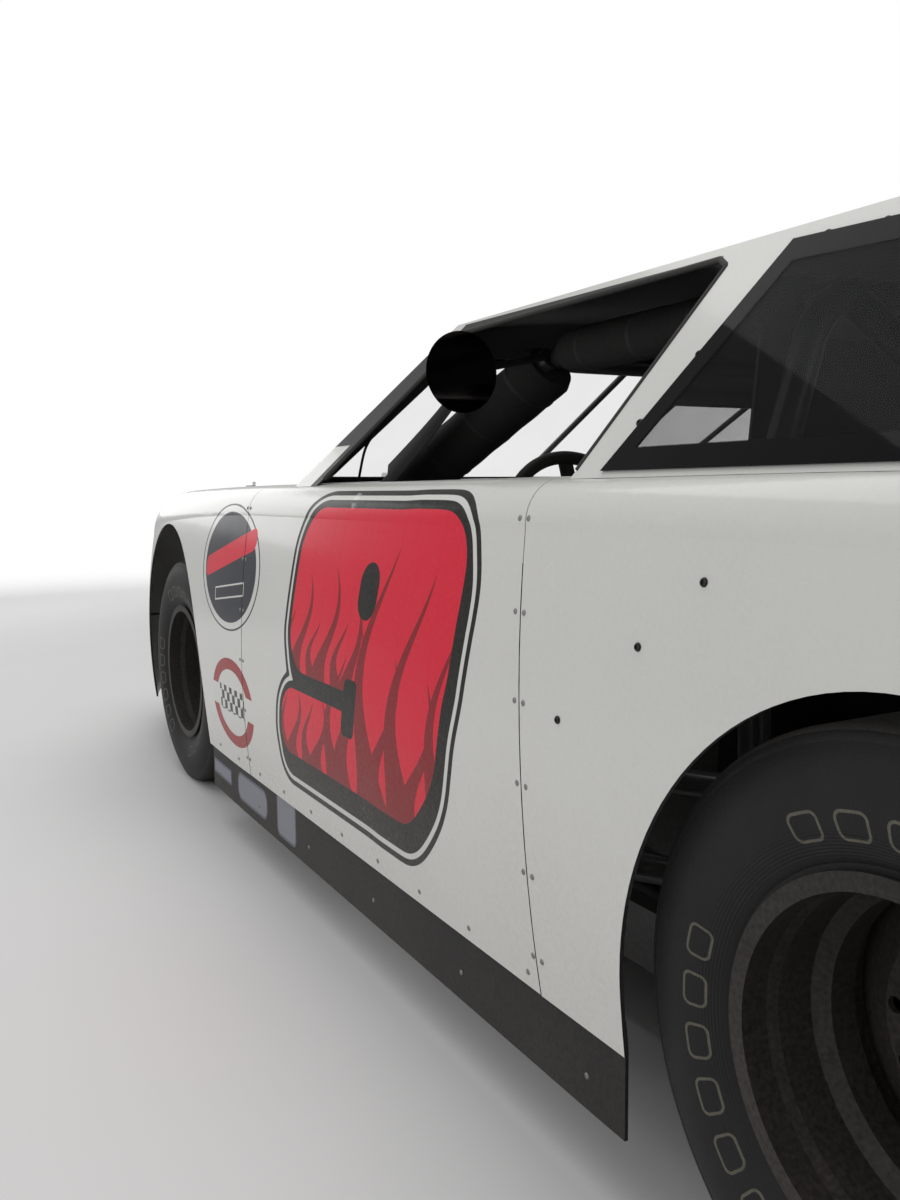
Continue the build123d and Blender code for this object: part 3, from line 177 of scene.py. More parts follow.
class Graph:
    """Short calls that add nodes to one tree. An input is a Value, which is linked, or a plain
    value, which is set on the new node's own socket."""

    def __init__(self, tree):
        self.tree = tree
        self.point = None

    def feed(self, socket, value):
        """Link a Value to a socket, or set the socket to a plain value."""
        if isinstance(value, Value):
            self.tree.links.new(value.socket, socket)
        elif value is not None:
            socket.default_value = (*value[:3], 1.0) if socket.type == "RGBA" else value

    def add(self, kind, inputs, **settings):
        """A new node with its settings and its inputs, given by name or number."""
        node = self.tree.nodes.new(kind)
        for name, value in settings.items():
            setattr(node, name, value)
        for key, value in inputs.items():
            self.feed(node.inputs[key], value)
        return node

    def give(self, **values):
        """Feed the outputs of a group."""
        self.add("NodeGroupOutput", values)

    def group(self, name, **values):
        """The outputs of a group, by name. An underscore stands for the space in a socket's name."""
        inputs = {key.replace("_", " "): value for key, value in values.items()}
        node = self.add("ShaderNodeGroup", inputs, node_tree=bpy.data.node_groups[name])
        return {socket.name: Value(self, socket) for socket in node.outputs}

    def math(self, operation, *values, clamp=False):
        """What a math node makes of the values."""
        node = self.add("ShaderNodeMath", dict(enumerate(values)), operation=operation, use_clamp=clamp)
        return Value(self, node.outputs[0])

    def least(self, first, *others):
        """The smallest of the numbers."""
        for other in others:
            first = self.math("MINIMUM", first, other)
        return first

    def most(self, first, *others):
        """The largest of the numbers."""
        for other in others:
            first = self.math("MAXIMUM", first, other)
        return first

    def reach(self, across, up):
        """Distance from the origin: sqrt(across^2 + up^2)."""
        return self.math("SQRT", across**2.0 + up**2.0)

    def turn(self, across, up):
        """Angle of (across, up) in turns, from -1/2 to 1/2: atan2(across, up) / 2 pi."""
        return self.math("ARCTAN2", across, up) / (2 * math.pi)

    def mix(self, share, first, second):
        """The colour first where share is 0, second where it is 1."""
        node = self.add("ShaderNodeMix", {"Factor": share, 6: first, 7: second}, data_type="RGBA")
        return Value(self, node.outputs[2])

    def mix_value(self, share, first, second):
        """The number first where share is 0, second where it is 1."""
        node = self.add("ShaderNodeMix", {"Factor": share, 2: first, 3: second}, data_type="FLOAT")
        return Value(self, node.outputs[0])

    def fall(self, value, start, stop, curve="SMOOTHSTEP"):
        """1 up to start, 0 from stop on, and a smooth fall between them."""
        limits = {"Value": value, "From Min": start, "From Max": stop, "To Min": 1.0, "To Max": 0.0}
        return Value(self, self.add("ShaderNodeMapRange", limits, interpolation_type=curve).outputs[0])

    def below(self, distance, edge, softness=0.0006):
        """1 where distance is under edge, 0 above, with a thin soft step between."""
        return self.fall(distance, edge - softness, edge + softness)

    def between(self, distance, low, high, softness=0.0006):
        """1 where distance lies from low to high."""
        return self.below(distance, high, softness) * (1.0 - self.below(distance, low, softness))

    def noise(self, scale, detail, roughness, vector=None):
        """Noise from 0 to 1 at a vector, or at the object's own point."""
        inputs = {
            "Vector": vector or self.point, "Scale": scale, "Detail": detail, "Roughness": roughness,
        }
        return Value(self, self.add("ShaderNodeTexNoise", inputs).outputs[0])

    def stretched(self, vector, scale):
        """The vector with each part multiplied by its own scale."""
        return Value(self, self.add("ShaderNodeMapping", {"Vector": vector, "Scale": scale}).outputs[0])

    def split(self, vector):
        """X, Y and Z of a vector."""
        return [Value(self, part) for part in self.add("ShaderNodeSeparateXYZ", {0: vector}).outputs]

    def box(self, across, up, centre_across, centre_up, half_across, half_up, corner):
        """Distance to a rounded box."""
        return self.group(
            "RoundedBox", Across=across, Up=up, Centre_Across=centre_across, Centre_Up=centre_up,
            Half_Across=half_across, Half_Up=half_up, Corner=corner,
        )["Distance"]


class Finish(Graph):
    """A new material's tree, with the point and the normal in the object's own coordinates."""

    def __init__(self, name):
        self.material = bpy.data.materials.new(name)
        self.material.use_nodes = True
        super().__init__(self.material.node_tree)
        place = self.add("ShaderNodeTexCoord", {})
        self.point = Value(self, place.outputs["Object"])
        self.normal = self.split(Value(self, place.outputs["Normal"]))

    def shade(self, height=None, bump=0.0, **inputs):
        """Feed the shader's sockets, and bump it by a height map that is bump metres deep."""
        shader = self.tree.nodes["Principled BSDF"]
        for name, value in inputs.items():
            self.feed(shader.inputs[name.replace("_", " ")], value)
        if height is not None:
            node = self.add("ShaderNodeBump", {"Height": height, "Distance": bump, "Strength": 1.0})
            self.feed(shader.inputs["Normal"], Value(self, node.outputs[0]))

    def inside(self):
        """1 on faces that look into the car: their normal points down, or towards the middle."""
        inward = self.math("SIGN", self.split(self.point)[0]) * self.normal[0]
        return self.most(-inward, -self.normal[2]) > 0.25

    def flat_place(self):
        """The piece's own flat picture: along and across, in metres or in shares of its length."""
        return self.split(Value(self, self.add("ShaderNodeUVMap", {}, uv_map="flat").outputs[0]))[:2]


def new_group(name, inputs, outputs):
    """An empty shader group and its inputs. inputs gives each one's default, None for a vector."""
    tree = bpy.data.node_groups.new(name, "ShaderNodeTree")
    for socket_name, default in inputs.items():
        kind = "NodeSocketVector" if default is None else "NodeSocketFloat"
        socket = tree.interface.new_socket(socket_name, in_out="INPUT", socket_type=kind)
        if default is not None:
            socket.default_value = default
    for socket_name in outputs:
        tree.interface.new_socket(socket_name, in_out="OUTPUT", socket_type="NodeSocketFloat")
    graph = Graph(tree)
    given = graph.add("NodeGroupInput", {}).outputs
    return graph, {socket.name: Value(graph, socket) for socket in given}


def build_rounded_box():
    """Distance to a rounded box: q = |p - centre| - (half - corner) on each axis, then the
    length of q's positive part, plus its larger part where both are negative, less the corner."""
    sizes = {
        "Across": 0.0, "Up": 0.0, "Centre Across": 0.0, "Centre Up": 0.0,
        "Half Across": 0.1, "Half Up": 0.1, "Corner": 0.02,
    }
    graph, given = new_group("RoundedBox", sizes, ("Distance",))
    across, up = (
        abs(given[axis] - given["Centre " + axis]) - (given["Half " + axis] - given["Corner"])
        for axis in ("Across", "Up")
    )
    outside = graph.reach(graph.most(across, 0.0), graph.most(up, 0.0))
    inside = graph.least(graph.most(across, up), 0.0)
    graph.give(Distance=outside + inside - given["Corner"])


def build_flame_lick():
    """One lick of flame: t runs from 0 at its foot to 1 at its tip; its middle is place +
    sway * sin(5 t + phase), and its half width is width * (0.6 (1 - t)^5 + 0.4 (1 - t)^0.8), so
    that licks side by side flow together at the foot with a round gap between them."""
    sizes = {
        "Across": 0.0, "Up": 0.0, "Place": 0.0, "Foot": 0.0, "Tip": 0.3, "Width": 0.05,
        "Sway": 0.03, "Phase": 2.0,
    }
    graph, given = new_group("FlameLick", sizes, ("Mask",))
    rise = given["Up"] - given["Foot"]
    share = graph.math("DIVIDE", rise, given["Tip"] - given["Foot"], clamp=True)
    middle = graph.math("SINE", share * 5.0 + given["Phase"]) * given["Sway"] + given["Place"]
    left = 1.0 - share
    edge = given["Width"] * (left**5.0 * 0.6 + left**0.8 * 0.4)
    distance = graph.most(abs(given["Across"] - middle) - edge, -rise)
    graph.give(Mask=graph.below(distance, 0.0, 0.0008))


def build_road_dust():
    """Dust is slow noise for where it lies, times fine noise, with more of it low down. Scuffs
    are the peaks of noise that is stretched along the car."""
    graph, given = new_group(
        "RoadDust", {"Vector": None, "Amount": 0.2, "Floor Height": 0.6}, ("Dust", "Scuff")
    )
    point, amount = given["Vector"], given["Amount"]
    low = 1.0 - graph.math("DIVIDE", graph.split(point)[2], given["Floor Height"], clamp=True)
    cover = graph.noise(3.1, 5.0, 0.6, point) * (0.35 + low)
    fine = graph.noise(160.0, 2.0, 0.5, point)
    dust = graph.math("MULTIPLY", cover * fine, amount, clamp=True)
    scratch = graph.noise(12.0, 6.0, 0.7, graph.stretched(point, (30.0, 2.5, 30.0)))
    graph.give(Dust=graph.math("MULTIPLY", dust, 2.0, clamp=True), Scuff=(scratch > 0.66) * amount)


def build_unrolled_side():
    """Coordinates of the body's side as if it was flattened: Across runs towards the reader's
    right on either side of the car, and Up follows the surface over the shoulder, where it is
    the neck's height plus the shoulder radius times the angle climbed."""
    graph, given = new_group("UnrolledSide", {"Vector": None}, ("Across", "Up", "Side"))
    x, y, z = graph.split(given["Vector"])
    side = graph.math("SIGN", x)
    climb = graph.math("DIVIDE", z - NECK_HEIGHT, SHOULDER, clamp=True)
    arc = graph.math("ARCSINE", climb) * SHOULDER
    graph.give(Across=y * side, Up=graph.least(z, NECK_HEIGHT) + arc, Side=side)


# The block nine: boxes as (centre across, centre up, half across, half up, corner), about its middle
NINE_MIDDLE = (0.165, 0.600)
NINE_SLANT = 0.215
NINE_BOWL = (-0.018, 0.0985, 0.342, 0.1685, 0.100)
NINE_STEM = (0.161, 0.006, 0.159, 0.254, 0.130)
NINE_FOOT = (-0.0525, -0.1820, 0.3265, 0.0720, 0.060)
NINE_HOOK = (-0.026, -0.100, 0.029, 0.056, 0.014)
NINE_COUNTER = (0.0, 0.122, 0.039, 0.052, 0.038)
NINE_SHADOW = (0.016, -0.034)
NINE_BLEND = 0.03
SHADOW_BLEND = 0.01
OUTLINE = 0.016
KEYLINE = 0.026
HAIRLINE = 0.038
LICK_SIZES = ("Place", "Foot", "Tip", "Width", "Sway", "Phase")
FLAMES = (
    (-0.360, -0.262, -0.122, 0.042, 0.016, 2.2), (-0.292, -0.262, -0.110, 0.048, -0.022, 1.0),
    (-0.222, -0.262, -0.120, 0.044, 0.020, 2.6), (-0.156, -0.262, -0.105, 0.050, -0.024, 1.2),
    (-0.088, -0.262, 0.000, 0.056, 0.036, 2.4), (-0.018, -0.262, 0.060, 0.060, -0.036, 0.9),
    (0.058, -0.262, 0.205, 0.070, 0.050, 2.2), (0.128, -0.262, 0.020, 0.056, -0.036, 0.8),
    (0.196, -0.262, 0.170, 0.068, 0.046, 2.5), (0.262, -0.262, 0.000, 0.054, -0.034, 1.2),
    (0.325, -0.262, 0.100, 0.056, 0.034, 2.0), (-0.350, -0.085, 0.060, 0.042, 0.020, 2.0),
    (-0.288, -0.085, 0.135, 0.050, -0.030, 1.0), (-0.222, -0.085, 0.045, 0.044, 0.024, 2.4),
    (-0.156, -0.085, 0.155, 0.052, -0.034, 1.2), (-0.090, -0.085, 0.060, 0.046, 0.024, 2.6),
    (-0.030, -0.085, 0.110, 0.046, -0.022, 1.4),
)


def build_nine_body():
    """Distance to the closed body of the block nine: the soft minimum of three rounded boxes."""
    graph, given = new_group("NineBody", {"Across": 0.0, "Up": 0.0}, ("Distance",))
    bowl, stem, foot = (
        graph.box(given["Across"], given["Up"], *sizes) for sizes in (NINE_BOWL, NINE_STEM, NINE_FOOT)
    )
    joined = graph.math("SMOOTH_MIN", bowl, stem, NINE_BLEND)
    graph.give(Distance=graph.math("SMOOTH_MIN", joined, foot, NINE_BLEND))


def build_block_nine():
    """A block numeral nine with an outline, a shadow, a keyline, a hairline and flames. Each
    output is the mask of one layer, to be laid over the one before."""
    layers = ("Hairline", "Keyline", "Outline", "Fill", "Flame")
    graph, given = new_group("BlockNine", {"Across": 0.0, "Up": 0.0}, layers)
    up = given["Up"] - NINE_MIDDLE[1]
    across = given["Across"] - up * NINE_SLANT
    body = graph.group("NineBody", Across=across, Up=up)["Distance"]
    moved = {"Across": across - NINE_SHADOW[0], "Up": up - NINE_SHADOW[1]}
    outer = graph.math("SMOOTH_MIN", body, graph.group("NineBody", **moved)["Distance"], SHADOW_BLEND)
    holes = [-graph.box(across, up, *hole) for hole in (NINE_HOOK, NINE_COUNTER)]
    licks = [
        graph.group("FlameLick", Across=across, Up=up, **dict(zip(LICK_SIZES, lick)))["Mask"]
        for lick in FLAMES
    ]
    graph.give(
        Hairline=graph.below(outer, HAIRLINE), Keyline=graph.below(outer, KEYLINE),
        Outline=graph.below(outer, OUTLINE), Fill=graph.below(graph.most(body, *holes), 0.0),
        Flame=graph.most(*licks),
    )


# Materials

FLANK_START = 0.80
DUST_ON_PAINT = (0.32, 0.29, 0.25)
OVAL_MIDDLE = (-0.650, 0.714)
STRIPE_MIDDLE = (-0.650, 0.748)
FRAME_MIDDLE = (-0.640, 0.655)
ARC_MIDDLE = (-0.625, 0.380)
FLAG_MIDDLE = (-0.625, 0.384)
FLAG_CHECKS = 45.0
POST_NORMAL = (-0.607, 0.795)
SKIRT_PLATES = (
    (-0.800, 0.163, 0.082, 0.020, 0.004), (-0.545, 0.163, 0.115, 0.036, 0.030),
    (-0.300, 0.172, 0.062, 0.052, 0.020),
)
TYRE_MARKS = 27
TYRE_MARK_REACH = 0.250
TYRE_RINGS_REACH = 0.232
DIAL_TICKS = 24


def gelcoat(graph, white, dust):
    """Slightly uneven white under road dust: the colour, and the dust group's outputs."""
    shade = graph.noise(1.7, 2.0, 0.5) * 0.10
    dirt = graph.group("RoadDust", Vector=graph.point, Amount=dust, Floor_Height=0.55)
    return graph.mix(shade, white, [part * 0.80 for part in white]), dirt


def body_decals(graph, paint):
    """Layers of (mask, colour) on the body's side: the number, then an oval with a stripe and an
    empty frame, then two arcs round a small checker. An oval's edge is where the length of
    (across / half width, up / half height) is 1."""
    side = graph.group("UnrolledSide", Vector=graph.point)
    y, up = graph.split(graph.point)[1], side["Up"]

    def oval(middle, half_across, half_up):
        return graph.reach((y - middle[0]) / half_across, (up - middle[1]) / half_up)

    def bar(middle, half_across, half_up, corner, slant):
        across = (y - middle[0]) * side["Side"]
        return graph.box(across, up - across * slant, 0.0, middle[1], half_across, half_up, corner)

    nine = graph.group("BlockNine", Across=side["Across"] - side["Side"] * NINE_MIDDLE[0], Up=up)
    layers = [
        (nine["Hairline"], paint.number_black), (nine["Keyline"], paint.body_white),
        (nine["Outline"], paint.number_black), (nine["Fill"], paint.number_red),
        (nine["Flame"] * nine["Fill"], paint.flame_red),
        (graph.between(oval(OVAL_MIDDLE, 0.243, 0.156), 0.972, 1.0, 0.004), paint.oval_blue),
        (graph.below(oval(OVAL_MIDDLE, 0.214, 0.136), 1.0, 0.004), paint.oval_blue),
        (graph.below(bar(STRIPE_MIDDLE, 0.205, 0.026, 0.024, 0.22), 0.0), paint.number_red),
        (graph.between(bar(FRAME_MIDDLE, 0.120, 0.017, 0.004, 0.12), -0.004, 0.0), paint.body_white),
    ]
    arcs = graph.between(oval(ARC_MIDDLE, 0.170, 0.110), 0.74, 1.0, 0.004)
    layers.append((arcs * (abs(up - FLAG_MIDDLE[1]) > 0.028), (0.36, 0.016, 0.022)))
    place = Value(graph, graph.add("ShaderNodeCombineXYZ", {0: y, 1: up}).outputs[0])
    checks = graph.add("ShaderNodeTexChecker", {"Scale": FLAG_CHECKS, "Vector": place}).outputs[1]
    flag = graph.below(bar(FLAG_MIDDLE, 0.100, 0.032, 0.003, 0.0), 0.0)
    layers.append((flag * Value(graph, checks), (0.02, 0.02, 0.02)))
    return layers


def paint_body(paint):
    """Gloss gelcoat with decals of vinyl, faint orange peel, dust low down, painted shade in near
    black on the edge faces low on the flanks, and bare grey laminate on the inner faces."""
    graph = Finish("body_gelcoat")
    x, y, z = graph.split(graph.point)
    flank = abs(x) > FLANK_START
    colour, dirt = gelcoat(graph, paint.body_white, 0.34)
    vinyl = 0.0
    for mask, tone in body_decals(graph, paint):
        mask = mask * flank
        colour = graph.mix(mask, colour, tone)
        vinyl = graph.most(vinyl, mask)

    inner = graph.inside()
    weave = graph.noise(240.0, 2.0, 0.6)
    low = graph.below(z, 0.80) * graph.below(abs(y), 1.86)
    # Painted shade: flank faces below 0.80 m that do not face outwards, such as the wheel-arch lips and the
    # seam faces, are painted near black where shadow falls on them
    painted_shade_edge = graph.below(abs(graph.normal[0]), 0.30, 0.02) * low * flank
    colour = graph.mix(dirt["Dust"], colour, DUST_ON_PAINT)
    colour = graph.mix(inner, colour, graph.mix(weave, (0.30, 0.30, 0.28), (0.44, 0.43, 0.40)))
    rough = graph.mix_value(dirt["Scuff"], graph.mix_value(dirt["Dust"], 0.16, 0.7), 0.45)
    peel = graph.noise(95.0, 2.0, 0.5)
    graph.shade(
        peel * 0.10 + vinyl * 0.12 + weave * inner * 2.2, 0.0006,
        # the near-black colour is painted shade on those edge faces
        Base_Color=graph.mix(painted_shade_edge, colour, (0.035, 0.034, 0.032)),
        Roughness=graph.mix_value(inner, rough, 0.75),
        Specular_IOR_Level=graph.mix_value(vinyl, 0.42, 0.10),
        Coat_Weight=graph.mix_value(vinyl, 0.22, 0.02), Coat_Roughness=0.05,
    )


def paint_roof(paint):
    """Gelcoat roof: black inside, black paint on the upper part of the front posts' sides, and painted
    shade in near black on a strip of the side rail beside the driver's opening. The opening's front
    edge runs from SIDE_OPENING's first corner to its second, and a point's distance off it is the
    dot product of its offset from the first corner with the edge's normal."""
    graph = Finish("roof_gelcoat")
    y, z = graph.split(graph.point)[1:]
    foot_y, foot_z = SIDE_OPENING[0]
    off_edge = (y - foot_y) * POST_NORMAL[0] + (z - foot_z) * POST_NORMAL[1]
    ahead = graph.below(y, 0.150, 0.001)
    post = graph.most(graph.below(off_edge, 0.020, 0.001), graph.between(z, 0.990, 1.172, 0.002))
    # Painted shade: a near-black strip on the side rail over the driver's opening, from z 1.170 up to a top
    # that falls from 1.2010 to 1.1925 towards the tail
    shade_strip_top = graph.mix_value(graph.math("DIVIDE", y - 0.150, 0.670, clamp=True), 1.2010, 1.1925)
    strip = (z < shade_strip_top) * (z > 1.170) * (y > 0.149) * (y < 0.826)
    # black holds the posts' real black paint and the strip of painted shade; dark adds the inside faces
    black = graph.most(post * ahead, strip) * (abs(graph.normal[0]) > 0.45)
    dark = graph.most(black, graph.inside())

    grain = graph.noise(320.0, 3.0, 0.6)
    colour, dirt = gelcoat(graph, paint.body_white, 0.30)
    colour = graph.mix(dirt["Dust"], colour, DUST_ON_PAINT)
    graph.shade(
        graph.noise(95.0, 2.0, 0.5) * 0.10 + grain * black, 0.0005, Coat_Weight=0.2,
        # near black here is paint on the posts and inside, and painted shade on the strip
        Base_Color=graph.mix(dark, colour, graph.mix(grain, (0.008, 0.008, 0.009), (0.020, 0.020, 0.021))),
        Roughness=graph.mix_value(dark, graph.mix_value(dirt["Scuff"], 0.16, 0.42), 0.55),
    )


def paint_mirror(name, face_y, tint):
    """Black housing whose flat face, everything behind face_y, is dark silvered glass."""
    graph = Finish(name)
    grain = graph.noise(380.0, 3.0, 0.6)
    face = (graph.split(graph.point)[1] > face_y) * (graph.normal[1] > 0.9)
    plastic = graph.mix(grain, (0.010, 0.010, 0.011), (0.022, 0.022, 0.023))
    gloss = graph.mix_value(graph.noise(28.0, 5.0, 0.6), 0.03, 0.09)
    graph.shade(
        grain * (1.0 - face), 0.0003, Base_Color=graph.mix(face, plastic, tint), Metallic=face,
        Roughness=graph.mix_value(face, 0.42, gloss),
    )


def paint_gauge():
    """Pale dial with black ticks round three quarters of it, and a red needle along
    (-0.62, 0.785) from a hub in the middle."""
    graph = Finish("gauge_face")
    across, up = graph.flat_place()
    reach, turn = graph.reach(across, up), graph.turn(across, up)
    step = abs(graph.math("FRACT", turn * DIAL_TICKS) - 0.5)
    ticks = (step > 0.41) * (reach > 0.0225) * (reach < 0.0290) * (abs(turn) < 0.375)
    along = across * -0.62 + up * 0.785
    beside = across * 0.785 + up * 0.62
    needle = graph.below(abs(beside), 0.0011, 0.0002) * graph.below(along, 0.0235, 0.0003)
    needle = needle * (along > -0.006)
    grain = graph.noise(900.0, 2.0, 0.5)
    colour = graph.mix(grain, (0.60, 0.60, 0.57), (0.52, 0.52, 0.49))
    colour = graph.mix(ticks, colour, (0.01, 0.01, 0.01))
    colour = graph.mix(needle, colour, (0.55, 0.03, 0.02))
    graph.shade(
        grain, 0.0001, Base_Color=graph.mix(graph.below(reach, 0.0042, 0.0002), colour, (0.02, 0.02, 0.02)),
        Roughness=graph.mix_value(grain, 0.25, 0.4), Coat_Weight=0.8,
    )


def paint_webbing():
    """Woven belt: ribs sin(900 along) and threads sin(4200 across), darker near each edge."""
    graph = Finish("belt_webbing")
    along, across = graph.flat_place()
    ribs, threads = graph.math("SINE", along * 900.0), graph.math("SINE", across * 4200.0)
    fuzz = graph.noise(600.0, 3.0, 0.6)
    colour = graph.mix(fuzz, (0.26, 0.020, 0.024), (0.16, 0.012, 0.016))
    graph.shade(
        (ribs + threads) * 0.3 + fuzz, 0.0004, Roughness=graph.mix_value(fuzz, 0.6, 0.8),
        Base_Color=graph.mix(abs(abs(across) - 0.015) < 0.0022, colour, (0.03, 0.01, 0.012)),
    )


def paint_skirt():
    """Matt black skirt with three blank pale plates on each side."""
    graph = Finish("skirt_plastic")
    y, z = graph.split(graph.point)[1:]
    grain = graph.noise(420.0, 3.0, 0.6)
    colour = graph.mix(grain, (0.006, 0.006, 0.007), (0.014, 0.014, 0.015))
    for plate in SKIRT_PLATES:
        distance = graph.box(y, z, *plate)
        colour = graph.mix(graph.below(distance, 0.0), colour, (0.13, 0.14, 0.18))
        colour = graph.mix(graph.below(distance, -0.006), colour, (0.26, 0.27, 0.31))
    dirt = graph.group("RoadDust", Vector=graph.point, Amount=0.24, Floor_Height=0.5)
    graph.shade(
        grain, 0.0005, Base_Color=graph.mix(dirt["Dust"], colour, (0.16, 0.14, 0.12)),
        Roughness=graph.mix_value(grain, 0.42, 0.62), Specular_IOR_Level=0.25,
    )


def paint_plain(
    name, light, dark, rough, metallic=0.0, grain=180.0, bump=0.0004, dust=0.3, coat=0.0, specular=0.5
):
    """A finish of one colour with grain, wear in its gloss and dust."""
    graph = Finish(name)
    slow = graph.noise(7.0, 5.0, 0.6)
    fine = graph.noise(grain, 3.0, 0.6)
    dirt = graph.group("RoadDust", Vector=graph.point, Amount=dust, Floor_Height=0.7)
    colour = graph.mix((slow + fine) * 0.5, light, dark)
    graph.shade(
        fine, bump, Base_Color=graph.mix(dirt["Dust"], colour, (0.23, 0.20, 0.17)),
        Roughness=graph.mix_value(slow, rough * 0.8, min(1.0, rough * 1.25)), Metallic=metallic,
        Coat_Weight=coat, Specular_IOR_Level=specular,
    )


def paint_tyre(name, axle):
    """Slick rubber, worked out from the distance and the angle about the axle: grained and
    greyed on the tread, smoother on the sidewall, with the fine rings that the mould leaves and
    rounded outlines that run round two thirds of each third."""
    graph = Finish(name)
    y, z = graph.split(graph.point)[1:]
    back, lift = y - axle, z - AXLE_HEIGHT
    reach, turn = graph.reach(back, lift), graph.turn(lift, back)
    tread = reach > TYRE_RADIUS - 0.006
    fine = graph.noise(260.0, 4.0, 0.65)
    slow = graph.noise(9.0, 4.0, 0.6)
    side_colour = graph.mix(slow, (0.010, 0.010, 0.011), (0.022, 0.021, 0.021))
    worn = graph.mix(fine, (0.020, 0.019, 0.018), (0.060, 0.056, 0.052))
    step = graph.math("FRACT", turn * TYRE_MARKS) - 0.5
    pitch = 2 * math.pi * TYRE_MARK_REACH / TYRE_MARKS
    mark = graph.box(step * pitch, reach, 0.0, TYRE_MARK_REACH, 0.018, 0.014, 0.008)
    line = graph.below(abs(mark), 0.0016, 0.0004) * (graph.math("FRACT", turn * 3.0) > 1 / 3)
    line = line * graph.math("MULTIPLY_ADD", fine, 0.8, 0.25, clamp=True)
    rings = graph.math("SINE", reach * 1800.0) * ((abs(reach - TYRE_RINGS_REACH) < 0.012) * 0.4)
    graph.shade(
        rings + fine, 0.0006, Roughness=graph.mix_value(tread, 0.55, 0.88), Specular_IOR_Level=0.22,
        Base_Color=graph.mix(line, graph.mix(tread, side_colour, worn), (0.17, 0.16, 0.125)),
    )


def paint_pane(name, corners, axis, border, base, alpha):
    """Clear sheet with a black border. corners are (place, height) along the edges, the place on
    X, either side alike, or on Y. A point's distance inside an edge is the dot product of its
    offset from the edge's start with the edge's normal, and the nearest edge counts."""
    graph = Finish(name)
    axes = graph.split(graph.point)
    across = abs(axes[0]) if axis == "X" else axes[1]
    distances = []
    for (start, low), (stop, high) in zip(corners, corners[1:]):
        length = math.hypot(stop - start, high - low)
        inward = (across - start) * ((high - low) / length)
        distances.append(inward + (axes[2] - low) * ((start - stop) / length))
    edge = graph.below(graph.least(*distances), border, 0.001)
    smear = graph.noise(6.0, 4.0, 0.6)
    streaks = graph.noise(9.0, 5.0, 0.7, graph.stretched(graph.point, (6.0, 6.0, 1.0)))
    tone = graph.mix(smear, [part * 0.8 for part in base], base)
    cover = graph.mix_value(smear, alpha * 0.8, alpha * 1.2)
    graph.shade(
        smear, 0.0001, Base_Color=graph.mix(edge, tone, (0.006, 0.006, 0.007)),
        Roughness=graph.mix_value(smear * streaks, 0.02, 0.06), IOR=1.49, Specular_IOR_Level=0.10,
        Alpha=graph.mix_value(edge, cover, 1.0),
    )


# Plain finishes: light shade, dark shade, roughness and what differs from the usual
PLAIN_FINISHES = {
    "frame_black": ((0.030, 0.031, 0.034), (0.016, 0.016, 0.018), 0.38, {"coat": 0.2}),
    "sheet_aluminium": ((0.36, 0.36, 0.37), (0.24, 0.24, 0.25), 0.42, {"metallic": 0.85, "grain": 60.0}),
    "plain_steel": ((0.40, 0.39, 0.38), (0.24, 0.235, 0.23), 0.36, {"metallic": 0.9, "grain": 120.0}),
    "cast_alloy": (
        (0.50, 0.50, 0.51), (0.34, 0.34, 0.35), 0.4, {"metallic": 0.9, "grain": 220.0, "bump": 0.0007}
    ),
    "block_grey": (
        (0.045, 0.047, 0.050), (0.022, 0.022, 0.024), 0.5, {"metallic": 0.2, "grain": 300.0, "bump": 0.0009}
    ),
    "wheel_black": (
        (0.012, 0.012, 0.013), (0.007, 0.007, 0.008), 0.5, {"grain": 200.0, "specular": 0.2}
    ),
    "wheel_grip": ((0.030, 0.028, 0.027), (0.014, 0.013, 0.013), 0.7, {"grain": 500.0, "bump": 0.0012}),
    "seat_sheet": ((0.022, 0.022, 0.024), (0.012, 0.012, 0.013), 0.45, {"metallic": 0.3, "grain": 220.0}),
    "pipe_steel": (
        (0.30, 0.25, 0.21), (0.16, 0.12, 0.10), 0.5, {"metallic": 0.8, "grain": 90.0, "bump": 0.0006}
    ),
    "mesh_black": ((0.020, 0.020, 0.021), (0.010, 0.010, 0.010), 0.5, {"grain": 300.0}),
    "rivet_metal": (
        (0.34, 0.34, 0.33), (0.20, 0.20, 0.19), 0.42, {"metallic": 0.8, "grain": 900.0, "bump": 0.0001}
    ),
    "black_oxide": (
        (0.022, 0.022, 0.023), (0.010, 0.010, 0.010), 0.40,
        {"metallic": 0.6, "grain": 900.0, "bump": 0.0001},
    ),
    "bright_steel": (
        (0.62, 0.62, 0.63), (0.48, 0.48, 0.49), 0.22,
        {"metallic": 1.0, "grain": 500.0, "bump": 0.0001, "dust": 0.1},
    ),
    "black_rubber": ((0.014, 0.014, 0.014), (0.008, 0.008, 0.008), 0.62, {"grain": 500.0}),
    "black_plastic": (
        (0.012, 0.012, 0.012), (0.007, 0.007, 0.007), 0.30, {"grain": 400.0, "bump": 0.0002}
    ),
    "foam": ((0.020, 0.020, 0.021), (0.009, 0.009, 0.010), 0.85, {"grain": 700.0, "bump": 0.0018}),
    "spring_paint": ((0.42, 0.045, 0.03), (0.30, 0.030, 0.02), 0.32, {"grain": 300.0, "coat": 0.4}),
    "caliper_paint": (
        (0.13, 0.13, 0.14), (0.07, 0.07, 0.075), 0.4, {"metallic": 0.7, "grain": 300.0, "bump": 0.0006}
    ),
    "lead_red": ((0.40, 0.03, 0.03), (0.28, 0.02, 0.02), 0.45, {"grain": 500.0}),
}
